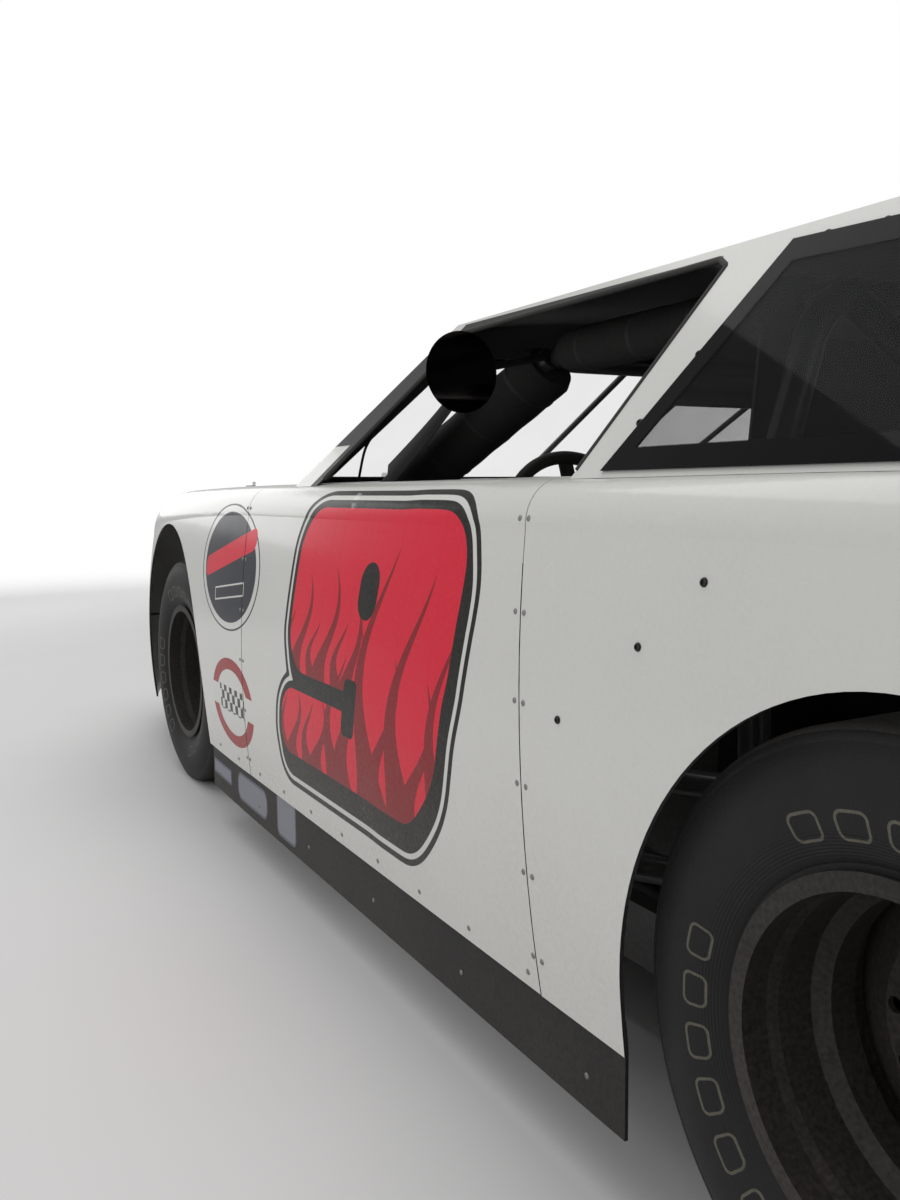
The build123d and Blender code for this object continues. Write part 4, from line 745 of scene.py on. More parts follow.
# Clear panes: corners, the axis of their places, border, colour and cover
SCREEN = ((0.0, 1.187), (0.716, 1.187), (0.874, 0.900), (0.0, 0.900))
QUARTER_PANE = ((0.778, 0.921), (0.948, 1.188), (1.128, 1.180), (1.500, 0.921), (0.778, 0.921))
SPOILER_EDGE = ((0.0, 1.092), (0.691, 1.092), (0.691, 0.880))
PANES = {
    "quarter_pane": (QUARTER_PANE, "Y", 0.028, (0.012, 0.012, 0.013), 0.42),
    "windshield_pane": (SCREEN, "X", 0.030, (0.45, 0.46, 0.46), 0.10),
    "rear_pane": (SCREEN, "X", 0.030, (0.30, 0.31, 0.31), 0.14),
    "spoiler_pane": (SPOILER_EDGE, "X", 0.008, (0.10, 0.10, 0.10), 0.30),
}
# The car's own pieces that each material goes on
COVERED = {
    "body_gelcoat": "nose fender_left fender_right door_left door_right quarter_left quarter_right "
    "tail_cover cowl_panels hood deck_lid",
    "roof_gelcoat": "roof_shell",
    "frame_black": "frame_rails roll_cage cage_stays bumper_bars windshield_straps control_arms "
    "rear_links rear_axle",
    "sheet_aluminium": "cabin_tin dash",
    "plain_steel": "coilovers driveshaft knuckle_left knuckle_right steering_rack hub_front_left "
    "hub_front_right hub_rear_left hub_rear_right",
    "cast_alloy": "radiator",
    "block_grey": "engine fuel_cell",
    "wheel_black": "wheel_front_left wheel_front_right wheel_rear_left wheel_rear_right",
    "wheel_grip": "steering_wheel",
    "seat_sheet": "seat",
    "pipe_steel": "exhaust",
    "spot_mirror": "spot_mirror",
    "cabin_mirror": "cabin_mirror",
    "mesh_black": "grille",
    "skirt_plastic": "skirts",
    "quarter_pane": "quarter_windows",
    "windshield_pane": "windshield",
    "rear_pane": "rear_window",
    "spoiler_pane": "spoiler",
    "tyre_front": "tyre_front_left tyre_front_right",
    "tyre_rear": "tyre_rear_left tyre_rear_right",
}


class STOCKCAR_OT_finishes(bpy.types.Operator):
    """Build the node groups and materials and put them on the car's own pieces"""

    bl_idname = "stockcar.finishes"
    bl_label = "Finishes"

    def execute(self, context):
        for build in (
            build_rounded_box, build_flame_lick, build_road_dust, build_unrolled_side,
            build_nine_body, build_block_nine,
        ):
            build()
        paint = context.scene.stockcar_paint
        paint_body(paint)
        paint_roof(paint)
        for name, (light, dark, rough, rest) in PLAIN_FINISHES.items():
            paint_plain(name, light, dark, rough, **rest)
        for name, sizes in PANES.items():
            paint_pane(name, *sizes)
        paint_mirror("spot_mirror", 0.220, (0.10, 0.085, 0.085))
        paint_mirror("cabin_mirror", 0.150, (0.55, 0.55, 0.56))
        paint_tyre("tyre_front", FRONT_AXLE)
        paint_tyre("tyre_rear", REAR_AXLE)
        paint_skirt()
        paint_gauge()
        paint_webbing()
        for material, names in COVERED.items():
            for name in names.split():
                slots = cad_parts[name].data.materials
                slots.clear()
                slots.append(bpy.data.materials[material])
        return {"FINISHED"}


# Stage

CAMERA_PLACE = (1.7164, 1.8555, 0.9005)
CAMERA_YAW = 0.4991
CAMERA_PITCH = 0.1067
CAMERA_ROLL = -0.0102
CAMERA_LENS = 31.18
FLOOR_HALF = 60.0
FADE_START = 4.5
FADE_STOP = 11.0
FLOOR_WEAR = 0.96
# Area lamps: name, place, aim, size and the setting that gives the power
LAMPS = (
    ("lamp_top", (0.5, -0.5, 5.2), (0.0, 0.0, 0.4), (5.0, 6.0), "key_power"),
    ("lamp_left", (5.5, 0.5, 2.4), (0.6, 0.0, 0.5), (4.5, 2.6), "fill_power"),
    ("lamp_right", (-5.5, 0.5, 2.4), (-0.6, 0.0, 0.5), (4.5, 2.6), "fill_power"),
    ("lamp_nose", (1.5, -7.0, 2.2), (0.0, -1.0, 0.5), (4.0, 2.4), "fill_power"),
    ("lamp_tail", (-1.0, 7.0, 2.4), (0.0, 1.0, 0.6), (4.0, 2.4), "fill_power"),
)


def build_floor(grey):
    """A flat square that fades out with the distance from the middle, so that no horizon shows."""
    graph = Finish("floor_plain")
    away = graph.add("ShaderNodeVectorMath", {0: graph.point}, operation="LENGTH").outputs["Value"]
    speck = graph.noise(2.0, 4.0, 0.5)
    graph.shade(
        Base_Color=graph.mix(speck, [grey] * 3, [grey * FLOOR_WEAR] * 3), Roughness=0.7,
        Alpha=graph.fall(Value(graph, away), FADE_START, FADE_STOP, "SMOOTHERSTEP"),
    )
    floor = Shape()
    steps = np.linspace(-FLOOR_HALF, FLOOR_HALF, 3)
    x, y = np.meshgrid(steps, steps, indexing="ij")
    quads = [[i * 3 + j, i * 3 + 3 + j, i * 3 + 4 + j, i * 3 + 1 + j] for i in (0, 1) for j in (0, 1)]
    floor.add(np.stack([x, y, np.zeros_like(x)], axis=-1).reshape(-1, 3), quads)
    floor.build("floor", "floor_plain", None)


def build_world(scene, level):
    """Even white light from all round, seen by the camera as plain white."""
    scene.world = bpy.data.worlds.new("studio")
    scene.world.use_nodes = True
    graph = Graph(scene.world.node_tree)
    background = graph.tree.nodes["Background"].inputs
    seen = Value(graph, graph.add("ShaderNodeLightPath", {}).outputs["Is Camera Ray"])
    graph.feed(background["Color"], (1.0, 1.0, 1.0))
    graph.feed(background["Strength"], graph.mix_value(seen, level, 1.0))


def camera_matrix():
    """The camera's place and turn from yaw, pitch and roll: it looks along
    (-sin yaw cos pitch, -cos yaw cos pitch, -sin pitch)."""
    yaw, pitch, roll = CAMERA_YAW, CAMERA_PITCH, CAMERA_ROLL
    flat = math.cos(pitch)
    ahead = Vector((-math.sin(yaw) * flat, -math.cos(yaw) * flat, -math.sin(pitch)))
    level = Vector((-math.cos(yaw), math.sin(yaw), 0.0))
    above = level.cross(ahead)
    right = math.cos(roll) * level + math.sin(roll) * above
    up = -math.sin(roll) * level + math.cos(roll) * above
    return Matrix.Translation(CAMERA_PLACE) @ Matrix((right, up, -ahead)).transposed().to_4x4()


class STOCKCAR_OT_stage(bpy.types.Operator):
    """Make the floor, the world, the lamps and the camera"""

    bl_idname = "stockcar.stage"
    bl_label = "Stage"

    def execute(self, context):
        scene = context.scene
        settings = scene.stockcar_stage
        scene.view_settings.view_transform = "Standard"
        build_floor(settings.floor_grey)
        build_world(scene, settings.world_level)
        for name, place, aim, size, power in LAMPS:
            data = bpy.data.lights.new(name, "AREA")
            data.shape = "RECTANGLE"
            data.size, data.size_y = size
            data.energy = getattr(settings, power)
            lamp = bpy.data.objects.new(name, data)
            scene.collection.objects.link(lamp)
            lamp.location = place
            lamp.rotation_euler = (Vector(aim) - Vector(place)).to_track_quat("-Z", "Y").to_euler()

        data = bpy.data.cameras.new("camera")
        data.sensor_width = 36.0
        data.lens = CAMERA_LENS
        data.clip_end = 200.0
        scene.camera = bpy.data.objects.new("camera", data)
        scene.collection.objects.link(scene.camera)
        scene.camera.matrix_world = camera_matrix()
        return {"FINISHED"}


# Surfaces and sections


def unit(vectors):
    """Vectors of length one: v / |v|."""
    return vectors / np.linalg.norm(vectors, axis=-1, keepdims=True)


def around(sides):
    """Evenly spread angles of one full turn."""
    return np.linspace(0, 2 * math.pi, sides, endpoint=False)


def oval(half_across, half_above, sides):
    """A section of (half_across cos a, half_above sin a) over one turn of a."""
    angle = around(sides)
    return np.stack([half_across * np.cos(angle), half_above * np.sin(angle)], axis=-1)


def circle(radius, sides):
    """A round section: (radius cos a, radius sin a)."""
    return oval(radius, radius, sides)


def band(width, thickness, corners=3):
    """A flat section with round edges: two half circles joined by straight sides."""
    radius = thickness / 2
    angle = np.linspace(-math.pi / 2, math.pi / 2, corners + 2)
    right = np.stack([width / 2 - radius + radius * np.cos(angle), radius * np.sin(angle)], axis=-1)
    return np.concatenate([right, -right])


def rounded_section(width, height, corner, steps=3):
    """A rectangle with round corners: each is its centre plus corner (cos a, sin a) over a
    quarter turn of a."""
    section = []
    for x, y, start in ((1, 1, 0.0), (-1, 1, 0.5), (-1, -1, 1.0), (1, -1, 1.5)):
        angle = (start + np.linspace(0, 0.5, steps + 1)) * math.pi
        centre = np.array([x * (width / 2 - corner), y * (height / 2 - corner)])
        section.append(centre + corner * np.stack([np.cos(angle), np.sin(angle)], axis=-1))
    return np.concatenate(section)


def line(start, stop, steps):
    """Points from start to stop: start + (stop - start) t, with t from 0 to 1."""
    share = np.linspace(0, 1, steps)[:, None]
    return np.asarray(start) + (np.asarray(stop) - np.asarray(start)) * share


def smooth_path(points, steps):
    """A curve through points: between two of them, with t from 0 to 1, the cubic
    (2t^3 - 3t^2 + 1) start + (t^3 - 2t^2 + t) lean_a + (3t^2 - 2t^3) stop + (t^3 - t^2) lean_b,
    whose leans are half of the way between each point's neighbours."""
    points = np.asarray(points, dtype=float)
    padded = np.concatenate([[2 * points[0] - points[1]], points, [2 * points[-1] - points[-2]]])
    share = np.linspace(0, 1, steps, endpoint=False)[:, None]
    runs = []
    for before, start, stop, after in zip(padded, padded[1:], padded[2:], padded[3:]):
        lean_a, lean_b = (stop - before) / 2, (after - start) / 2
        runs.append(
            (2 * share**3 - 3 * share**2 + 1) * start + (share**3 - 2 * share**2 + share) * lean_a
            + (3 * share**2 - 2 * share**3) * stop + (share**3 - share**2) * lean_b
        )
    return np.concatenate([*runs, points[-1:]])


def ring_faces(rings, sides, closed):
    """Quads between rings of the same number of points, each next to the one before, and a cap
    over each end unless the rings close on themselves."""
    faces = []
    for ring in range(rings if closed else rings - 1):
        low, high = ring * sides, ((ring + 1) % rings) * sides
        for side in range(sides):
            after = (side + 1) % sides
            faces.append([low + side, low + after, high + after, high + side])
    if not closed:
        faces.append(list(range(sides))[::-1])
        faces.append([(rings - 1) * sides + side for side in range(sides)])
    return faces


def lathe(profile, sides):
    """A profile of (radius, height) rows turned about Z: (radius cos a, radius sin a, height)."""
    profile = np.asarray(profile, dtype=float)
    angle = around(sides)
    radius = np.maximum(profile[:, :1], 1e-5)
    height = np.repeat(profile[:, 1:], sides, axis=1)
    points = np.stack([radius * np.cos(angle), radius * np.sin(angle), height], axis=-1)
    return points.reshape(-1, 3), ring_faces(len(profile), sides, False)


def sweep(path, section, up=None, closed=False):
    """A section of (across, above) rows carried along a path: path + across * (along x up) +
    above * ((along x up) x along). Without up, a direction is carried along so that it turns
    least."""
    path = np.asarray(path, dtype=float)
    section = np.asarray(section, dtype=float)
    if closed:
        along = unit(np.roll(path, -1, axis=0) - np.roll(path, 1, axis=0))
    else:
        along = unit(np.gradient(path, axis=0))
    if up is None:
        guess = np.array([0.0, 0.0, 1.0]) if abs(along[0, 2]) < 0.9 else np.array([1.0, 0.0, 0.0])
        above = []
        for direction in along:
            guess = unit(guess - direction * np.dot(guess, direction))
            above.append(guess)
        above = np.array(above)
    else:
        above = np.broadcast_to(np.asarray(up, dtype=float), along.shape)
    across = unit(np.cross(along, above))
    above = np.cross(across, along)
    if section.ndim == 2:
        section = np.broadcast_to(section, (len(path), *section.shape))
    points = path[:, None] + section[:, :, :1] * across[:, None] + section[:, :, 1:] * above[:, None]
    sides = section.shape[1]
    share = np.linspace(0, 1, len(path))[:, None]
    flat = np.stack([np.broadcast_to(share, (len(path), sides)), section[:, :, 0]], axis=-1)
    return points.reshape(-1, 3), ring_faces(len(path), sides, closed), flat.reshape(-1, 2)


def set_on(points, place, normal):
    """Points turned and moved: place + x right + y (normal x right) + z normal, where right is
    level."""
    normal = unit(np.asarray(normal, dtype=float))
    guess = np.array([0.0, 0.0, 1.0]) if abs(normal[2]) < 0.9 else np.array([0.0, 1.0, 0.0])
    right = unit(np.cross(guess, normal))
    up = np.cross(normal, right)
    return np.asarray(place) + points[:, :1] * right + points[:, 1:2] * up + points[:, 2:] * normal


class Shape:
    """Several closed surfaces gathered as arrays and made into one mesh."""

    def __init__(self):
        self.points = []
        self.faces = []
        self.flat = []
        self.count = 0

    def add(self, points, faces, flat=None):
        """Points (n, 3), faces as lists of indices, and for each point its place in a flat
        picture of the piece, which becomes the UV map."""
        points = np.asarray(points, dtype=float)
        self.points.append(points)
        self.faces += [[int(index) + self.count for index in face] for face in faces]
        self.flat.append(points[:, :2] if flat is None else np.asarray(flat, dtype=float))
        self.count += len(points)

    def sweep(self, *path_and_section, **turn):
        """A section carried along a path."""
        self.add(*sweep(*path_and_section, **turn))

    def turn(self, profile, sides, place, normal):
        """A turned profile that stands on a place."""
        points, faces = lathe(profile, sides)
        self.add(set_on(points, place, normal), faces)

    def stamp(self, solid, hits):
        """A copy of a solid on every surface point, kept inside the car's own box."""
        points, faces = solid
        for place, normal in hits:
            self.add(np.clip(set_on(points, place, normal), *cad_box), faces, points[:, :2])

    def build(self, name, material, body, sharp=35.0):
        """Join the surfaces into an object that rides a body, or stands on the stage without
        one. Edges sharper than sharp degrees stay sharp."""
        mesh = bpy.data.meshes.new(name)
        mesh.from_pydata(np.concatenate(self.points).tolist(), [], self.faces)
        corners = np.empty(len(mesh.loops), dtype=np.int32)
        mesh.loops.foreach_get("vertex_index", corners)
        layer = mesh.uv_layers.new(name="flat")
        layer.data.foreach_set("uv", np.concatenate(self.flat)[corners].ravel())
        mesh.polygons.foreach_set("use_smooth", np.ones(len(mesh.polygons), dtype=bool))
        joined = bmesh.new()
        joined.from_mesh(mesh)
        bmesh.ops.remove_doubles(joined, verts=joined.verts, dist=1e-6)
        bmesh.ops.recalc_face_normals(joined, faces=joined.faces)
        joined.to_mesh(mesh)
        joined.free()
        mesh.set_sharp_from_angle(angle=math.radians(sharp))
        mesh.materials.append(bpy.data.materials[material])
        made = bpy.data.objects.new(name, mesh)
        bpy.context.scene.collection.objects.link(made)
        if body is None:
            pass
        else:
            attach(made, body)


# Where rays onto the car's sides and its top start
BESIDE = 1.3
OVERHEAD = 1.6


def surface(names, start, direction):
    """Where a ray first meets the named nodes, as a point and a normal, or None."""
    best = None
    for name in names.split():
        met, place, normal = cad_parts[name].ray_cast(start, direction)[:3]
        if met:
            reach = (place - Vector(start)).length
            if best is None or reach < best[0]:
                best = (reach, np.array(place), np.array(normal))
    return None if best is None else best[1:]


def flank_places(names, spots, side):
    """Points on a side of the body at (y, z) spots, seen from outside."""
    found = [surface(names, (side * BESIDE, y, z), (-side, 0, 0)) for y, z in spots]
    return [hit for hit in found if hit is not None]


def top_places(names, spots):
    """Points on top of the body at (x, y) spots, seen from above."""
    found = [surface(names, (x, y, OVERHEAD), (0, 0, -1)) for x, y in spots]
    return [hit for hit in found if hit is not None]


# Small pieces

SIDE_PANELS = (
    "nose fender_left fender_right door_left door_right quarter_left quarter_right tail_cover "
    "skirts roof_shell"
)
# Each seam's rivet pairs: the seam's place and their heights. A place of None is the door's seam
RIVET_OFFSET = 0.011
SEAMS = (
    (None, (0.860, 0.735, 0.616, 0.505, 0.385, 0.270)),
    (FENDER_SEAM, (0.86, 0.74, 0.62, 0.50, 0.38, 0.26)),
    (NOSE_SEAM, (0.56, 0.64, 0.72)),
    (TAIL_SEAM, (0.84, 0.72, 0.60, 0.48, 0.38)),
)
QUARTER_SCREWS = ((1.030, 0.800), (0.935, 0.720), (0.789, 0.609))
QUARTER_PITCH = 0.110
# Screws along the end windows: the row's middle on Y and how far it bows towards the tail
SCREEN_HALF = 0.745
SCREEN_ROWS = ((0.118, -0.062), (1.106, 0.040))
END_ROW_OFFSET = 0.022
DOOR_SEAM_PLACE = 0.665
DOOR_SEAM_LEAN = 0.074
SIDE_OPENING = ((-0.262, 0.860), (0.165, 1.186), (0.820, 1.189), (0.840, 1.176), (0.690, 0.860))
QUARTER_OPENING = ((0.790, 0.935), (0.957, 1.176), (1.120, 1.168), (1.470, 0.935))
LID_PINS = {
    "hood": ((0.36, -1.905), (-0.36, -1.905), (0.655, -1.40), (-0.655, -1.40)),
    "deck_lid": ((0.56, 2.120), (-0.56, 2.120)),
}
# A rivet's dome and the hollow in its middle, in shares of the radius
DOME_SHARE = 0.42
RIVET_HOLLOW = ((0.30, 0.42), (0.26, 0.30), (0, 0.30))
# Profiles to turn, as (radius, height) rows
SCREW_HEAD = (
    (0.0054, -0.0006), (0.0054, 0.0008), (0.0045, 0.0024), (0.0027, 0.0031), (0.0023, 0.0015),
    (0, 0.0015),
)
SCUFF_PLATE = (
    (0.024, -0.0004), (0.024, 0.0012), (0.022, 0.0018), (0.008, 0.0018), (0.0075, 0.0012), (0, 0.0012),
)
PIN_POST = ((0.0052, -0.001), (0.0052, 0.016), (0.0040, 0.019), (0.0034, 0.0195), (0, 0.0195))


def door_seam(height):
    """Place of the slanted seam behind the door: the place at the belt, plus the lean in
    proportion to the way down to the sill."""
    return DOOR_SEAM_PLACE + (BELT - height) / (BELT - SILL) * DOOR_SEAM_LEAN


def rivet_spots():
    """(y, z) of the rivets on one side: a pair across each seam at each height, then a row over
    the sill and a row on the skirt."""
    spots = []
    for seam, heights in SEAMS:
        for z in heights:
            place = door_seam(z) if seam is None else seam
            spots += [(place + off, z) for off in (-RIVET_OFFSET, RIVET_OFFSET)]
    spots += [(y, SILL + 0.020) for y in np.arange(-0.78, 0.86, 0.165)]
    return spots + [(y, 0.150) for y in np.arange(-0.82, 0.86, 0.33)]


def window_ring(outline, offset, pitch):
    """Points round a closed (y, z) outline, offset outwards, at about a pitch: on an edge that n
    of them fit, at start + (stop - start) (k + 1/2) / n + offset * normal."""
    outline = np.asarray(outline, dtype=float)
    middle = outline.mean(axis=0)
    spots = []
    for start, stop in zip(outline, np.roll(outline, -1, axis=0)):
        length = np.linalg.norm(stop - start)
        normal = np.array([stop[1] - start[1], start[0] - stop[0]]) / length
        if np.dot(normal, (start + stop) / 2 - middle) < 0:
            normal = -normal
        fitting = int(length / pitch) + 1
        for share in (np.arange(fitting) + 0.5) / fitting:
            spots.append(tuple(start + (stop - start) * share + normal * offset))
    return spots


def bowed_row(middle, bow):
    """(x, y) of screws along a bowed screen edge: y = middle + bow (1 - (x / half width)^2)."""
    return [(x, middle + bow * (1 - (x / SCREEN_HALF) ** 2)) for x in np.linspace(-0.62, 0.62, 11)]


class STOCKCAR_OT_fasteners(bpy.types.Operator):
    """Rivets along the seams, screws round the windows, pins on the hood and the deck lid"""

    bl_idname = "stockcar.fasteners"
    bl_label = "Fasteners"

    def execute(self, context):
        radius = context.scene.stockcar_detail.rivet_radius
        turn = np.linspace(0, math.pi / 2, 5)[:-1]
        dome = np.stack([np.cos(turn), DOME_SHARE * np.sin(turn)], axis=-1) * radius
        hollow = [(radius * across, radius * up) for across, up in RIVET_HOLLOW]
        rivet = lathe([(radius, -0.0006), *dome, *hollow], 14)
        head = lathe(SCREW_HEAD, 14)
        rivets, screws = Shape(), Shape()
        for side in (1, -1):
            rivets.stamp(rivet, flank_places(SIDE_PANELS, rivet_spots(), side))
            screws.stamp(head, flank_places(SIDE_PANELS, QUARTER_SCREWS, side))
            ring = window_ring(QUARTER_OPENING, 0.009, QUARTER_PITCH)
            screws.stamp(head, flank_places("roof_shell", ring, side))
        screen_rows = [spot for row in SCREEN_ROWS for spot in bowed_row(*row)]
        screws.stamp(head, top_places("roof_shell", screen_rows))
        nose_row = [(x, NOSE_SEAM - END_ROW_OFFSET) for x in np.linspace(-0.62, 0.62, 9)]
        tail_row = [(x, TAIL_SEAM + END_ROW_OFFSET) for x in np.linspace(-0.60, 0.60, 9)]
        rivets.stamp(rivet, top_places("nose tail_cover", nose_row + tail_row))
        rivets.build("rivets", "rivet_metal", "chassis")
        screws.build("window_screws", "black_oxide", "chassis")

        loop = np.column_stack([oval(0.013, 0.010, 28) + (0.014, 0.0), np.full(28, 0.0068)])
        clip = sweep(loop, circle(0.0014, 8), up=(0, 0, 1), closed=True)[:2]
        for lid, spots in LID_PINS.items():
            pins = Shape()
            hits = top_places(lid, spots)
            for solid in (lathe(SCUFF_PLATE, 28), lathe(PIN_POST, 16), clip):
                pins.stamp(solid, hits)
            pins.build(lid + "_pins", "bright_steel", lid)
        return {"FINISHED"}


# Half width of the greenhouse at two heights
WALL_LOW = (0.918, 0.900)
WALL_HIGH = (0.745, 1.205)
BEAD_RADIUS = 0.0048
BEAD_INSET = 0.003
STRIP_FOOT = (0.762, -0.165, 0.925)
STRIP_HEAD = (0.700, 0.052, 1.098)
STRIP_WIDTHS = (0.078, 0.048)
STRIP_BOW = 0.010
POST_ROD = ((0.800, -0.236, 0.920), (0.796, -0.207, 0.985), (0.786, -0.175, 1.022))
POST_ROD_RADIUS = 0.003


def side_wall(height):
    """Half width of the greenhouse, on the straight line through WALL_LOW and WALL_HIGH."""
    share = (height - WALL_LOW[1]) / (WALL_HIGH[1] - WALL_LOW[1])
    return WALL_LOW[0] + (WALL_HIGH[0] - WALL_LOW[0]) * share


class STOCKCAR_OT_window_trim(bpy.types.Operator):
    """Rubber beads round the side windows, the dark strip and the rod beside the front posts"""

    bl_idname = "stockcar.window_trim"
    bl_label = "Window trim"

    def execute(self, context):
        beads, strips = Shape(), Shape()
        for side in (1, -1):
            outline = [(-0.178, 0.924), *SIDE_OPENING[1:4], (0.7195, 0.922)]
            corners = [(side * (side_wall(z) - BEAD_INSET), y, z) for y, z in outline]
            path = np.concatenate([line(start, stop, 14) for start, stop in zip(corners, corners[1:])])
            keep = np.concatenate([[True], np.linalg.norm(np.diff(path, axis=0), axis=1) > 1e-4])
            beads.sweep(path[keep], circle(BEAD_RADIUS, 10))

            mirror = (side, 1, 1)
            path = line(STRIP_FOOT, STRIP_HEAD, 20) * mirror
            path[:, 1] += STRIP_BOW * np.sin(math.pi * np.linspace(0, 1, 20))
            section = np.stack([band(width, 0.005) for width in np.linspace(*STRIP_WIDTHS, 20)])
            strips.sweep(path, section, up=(side * 0.93, -0.30, 0.20))
            strips.sweep(smooth_path(np.array(POST_ROD) * mirror, 8), circle(POST_ROD_RADIUS, 8))
        beads.build("window_beads", "black_rubber", "chassis", 60.0)
        strips.build("post_strips", "black_plastic", "chassis", 50.0)
        return {"FINISHED"}


# Sleeves on the cage: start, stop, half width, half height and how far they stand aside
SLEEVES = (
    ((0.5835, 0.164, 1.137), (0.688, -0.300, 0.885), 0.062, 0.047, 0.016),
    ((0.5635, 0.800, 1.157), (0.5775, 0.240, 1.150), 0.040, 0.040, 0.0),
    ((0.420, 0.851, 1.158), (0.060, 0.851, 1.158), 0.038, 0.038, 0.0),
)
SLEEVE_ACROSS = (-0.878, 0.479, 0.0)
STRAP_HALF = 0.0045


class STOCKCAR_OT_padding(bpy.types.Operator):
    """Foam sleeves with straps on the cage round the driver"""

    bl_idname = "stockcar.padding"
    bl_label = "Cage padding"

    def execute(self, context):
        foam, ties = Shape(), Shape()
        share = np.linspace(0, 1, 30)[:, None]
        end = 1 - 0.16 * np.exp(-share / 0.012) - 0.16 * np.exp((share - 1) / 0.012)
        length_swell = end * (1 + 0.010 * np.sin(share * 37.0))
        slit = 1 - 0.06 * np.exp(-((around(28) - 0.6) / 0.12) ** 2)
        strap_swell = 1.012 - 0.03 * np.abs(np.linspace(-1, 1, 7)) ** 4
        for start, stop, half_across, half_above, aside in SLEEVES:
            start, stop = np.array(start), np.array(stop)
            along = unit(stop - start)
            up = np.cross(SLEEVE_ACROSS, along)
            ring = oval(half_across, half_above, 28)
            section = (ring * slit[:, None])[None] * length_swell[:, :, None]
            foam.sweep(line(start, stop, 30), section + (aside, 0.0), up=up)
            loop = (ring * 1.006)[None] * strap_swell[:, None, None]
            for place in np.linspace(0.12, 0.88, 4):
                middle = start + (stop - start) * place
                path = line(middle - along * STRAP_HALF, middle + along * STRAP_HALF, 7)
                ties.sweep(path, loop + (aside, 0.0), up=up)
        foam.build("cage_padding", "foam", "chassis", 60.0)
        ties.build("padding_straps", "black_plastic", "chassis")
        return {"FINISHED"}


# Dampers: top and foot of the left ones
DAMPERS = (
    ((0.457, FRONT_AXLE, 0.572), (0.527, FRONT_AXLE, 0.312)),
    ((0.4315, 1.3905, 0.652), (0.4465, 1.350, 0.385)),
)
SPRING_RADIUS = 0.045
WIRE_RADIUS = 0.0062
COLLAR = ((0.034, -0.006), (0.053, -0.006), (0.054, 0.0), (0.053, 0.006), (0.034, 0.006))


class STOCKCAR_OT_springs(bpy.types.Operator):
    """Coil springs with their collars round the four dampers"""

    bl_idname = "stockcar.springs"
    bl_label = "Springs"

    def execute(self, context):
        turns = context.scene.stockcar_detail.spring_turns
        springs, collars = Shape(), Shape()
        for side in (1, -1):
            for top, foot in np.array(DAMPERS) * (side, 1, 1):
                angle = np.linspace(0, 2 * math.pi * turns, int(turns * 20))
                climb = np.linspace(0.03, 0.97, len(angle)) * np.linalg.norm(foot - top)
                turned = SPRING_RADIUS * np.stack([np.cos(angle), np.sin(angle)])
                coil = np.stack([*turned, climb], axis=-1)
                springs.sweep(set_on(coil, top, foot - top), circle(WIRE_RADIUS, 8))
                for place in (top, foot):
                    collars.turn(COLLAR, 28, place, foot - top)
        springs.build("coil_springs", "spring_paint", "chassis", 60.0)
        collars.build("spring_collars", "sheet_aluminium", "chassis")
        return {"FINISHED"}


# Gauges: x, z and size
GAUGES = (
    (0.275, 0.812, 1.0), (0.365, 0.825, 1.0), (0.470, 0.825, 1.3), (0.562, 0.790, 0.8),
    (0.190, 0.800, 0.9),
)
SWITCH_PLACES = (0.02, 0.05, 0.08, 0.11)
SWITCH_HEIGHT = 0.800
BEZEL = (
    (0.026, -0.001), (0.037, -0.001), (0.038, 0.006), (0.036, 0.011), (0.032, 0.011), (0.031, 0.004),
    (0.026, 0.004),
)
DIAL = ((0.0315, -0.001), (0.0315, 0.0035), (0, 0.0035))
LEVER = ((0.008, -0.001), (0.008, 0.003), (0.0035, 0.005), (0.003, 0.020), (0.0042, 0.024), (0, 0.025))
LATCH = (
    (0.0, -0.004), (0.030, -0.004), (0.032, 0.0), (0.030, 0.010), (0.014, 0.013), (0.012, 0.011),
    (0, 0.011),
)
BELT_WIDTH = 0.046
BELT_THICKNESS = 0.0026
HARNESS_OFF = 0.085
HARNESS_HEIGHTS = (1.020, 0.960, 0.880, 0.800, 0.720, 0.640, 0.560, 0.480, 0.410)
# Lap belt: distance from the seat's middle, place and lift over the cushion
LAP_SPOTS = ((0.190, 0.640, 0.020), (0.140, 0.600, 0.008), (0.080, 0.575, 0.008), (0.012, 0.565, 0.010))


def cushion(off, y, lift):
    """A point a little over the seat's cushion, off the seat's middle."""
    return surface("seat", (SEAT_MIDDLE + off, y, 0.9), (0, 0, -1))[0] + np.array([0.0, 0.0, lift])


def harness_path(off):
    """A shoulder belt down the seat's back to the latch: its distance from the middle is off
    times 0.30 + 0.70 (z - 0.36) / 0.34, and off at most."""
    spots = []
    for z in HARNESS_HEIGHTS:
        lean = off * min(1.0, 0.30 + 0.70 * (z - 0.36) / 0.34)
        place = surface("seat", (SEAT_MIDDLE + lean, 0.30, z), (0, 1, 0))[0]
        spots.append(place - np.array([0.0, 0.004 + 0.030 * max(0.0, 0.52 - z) / 0.11, 0.0]))
    return smooth_path([*spots, cushion(off * 0.2, 0.612, 0.030), cushion(off * 0.1, 0.570, 0.014)], 6)


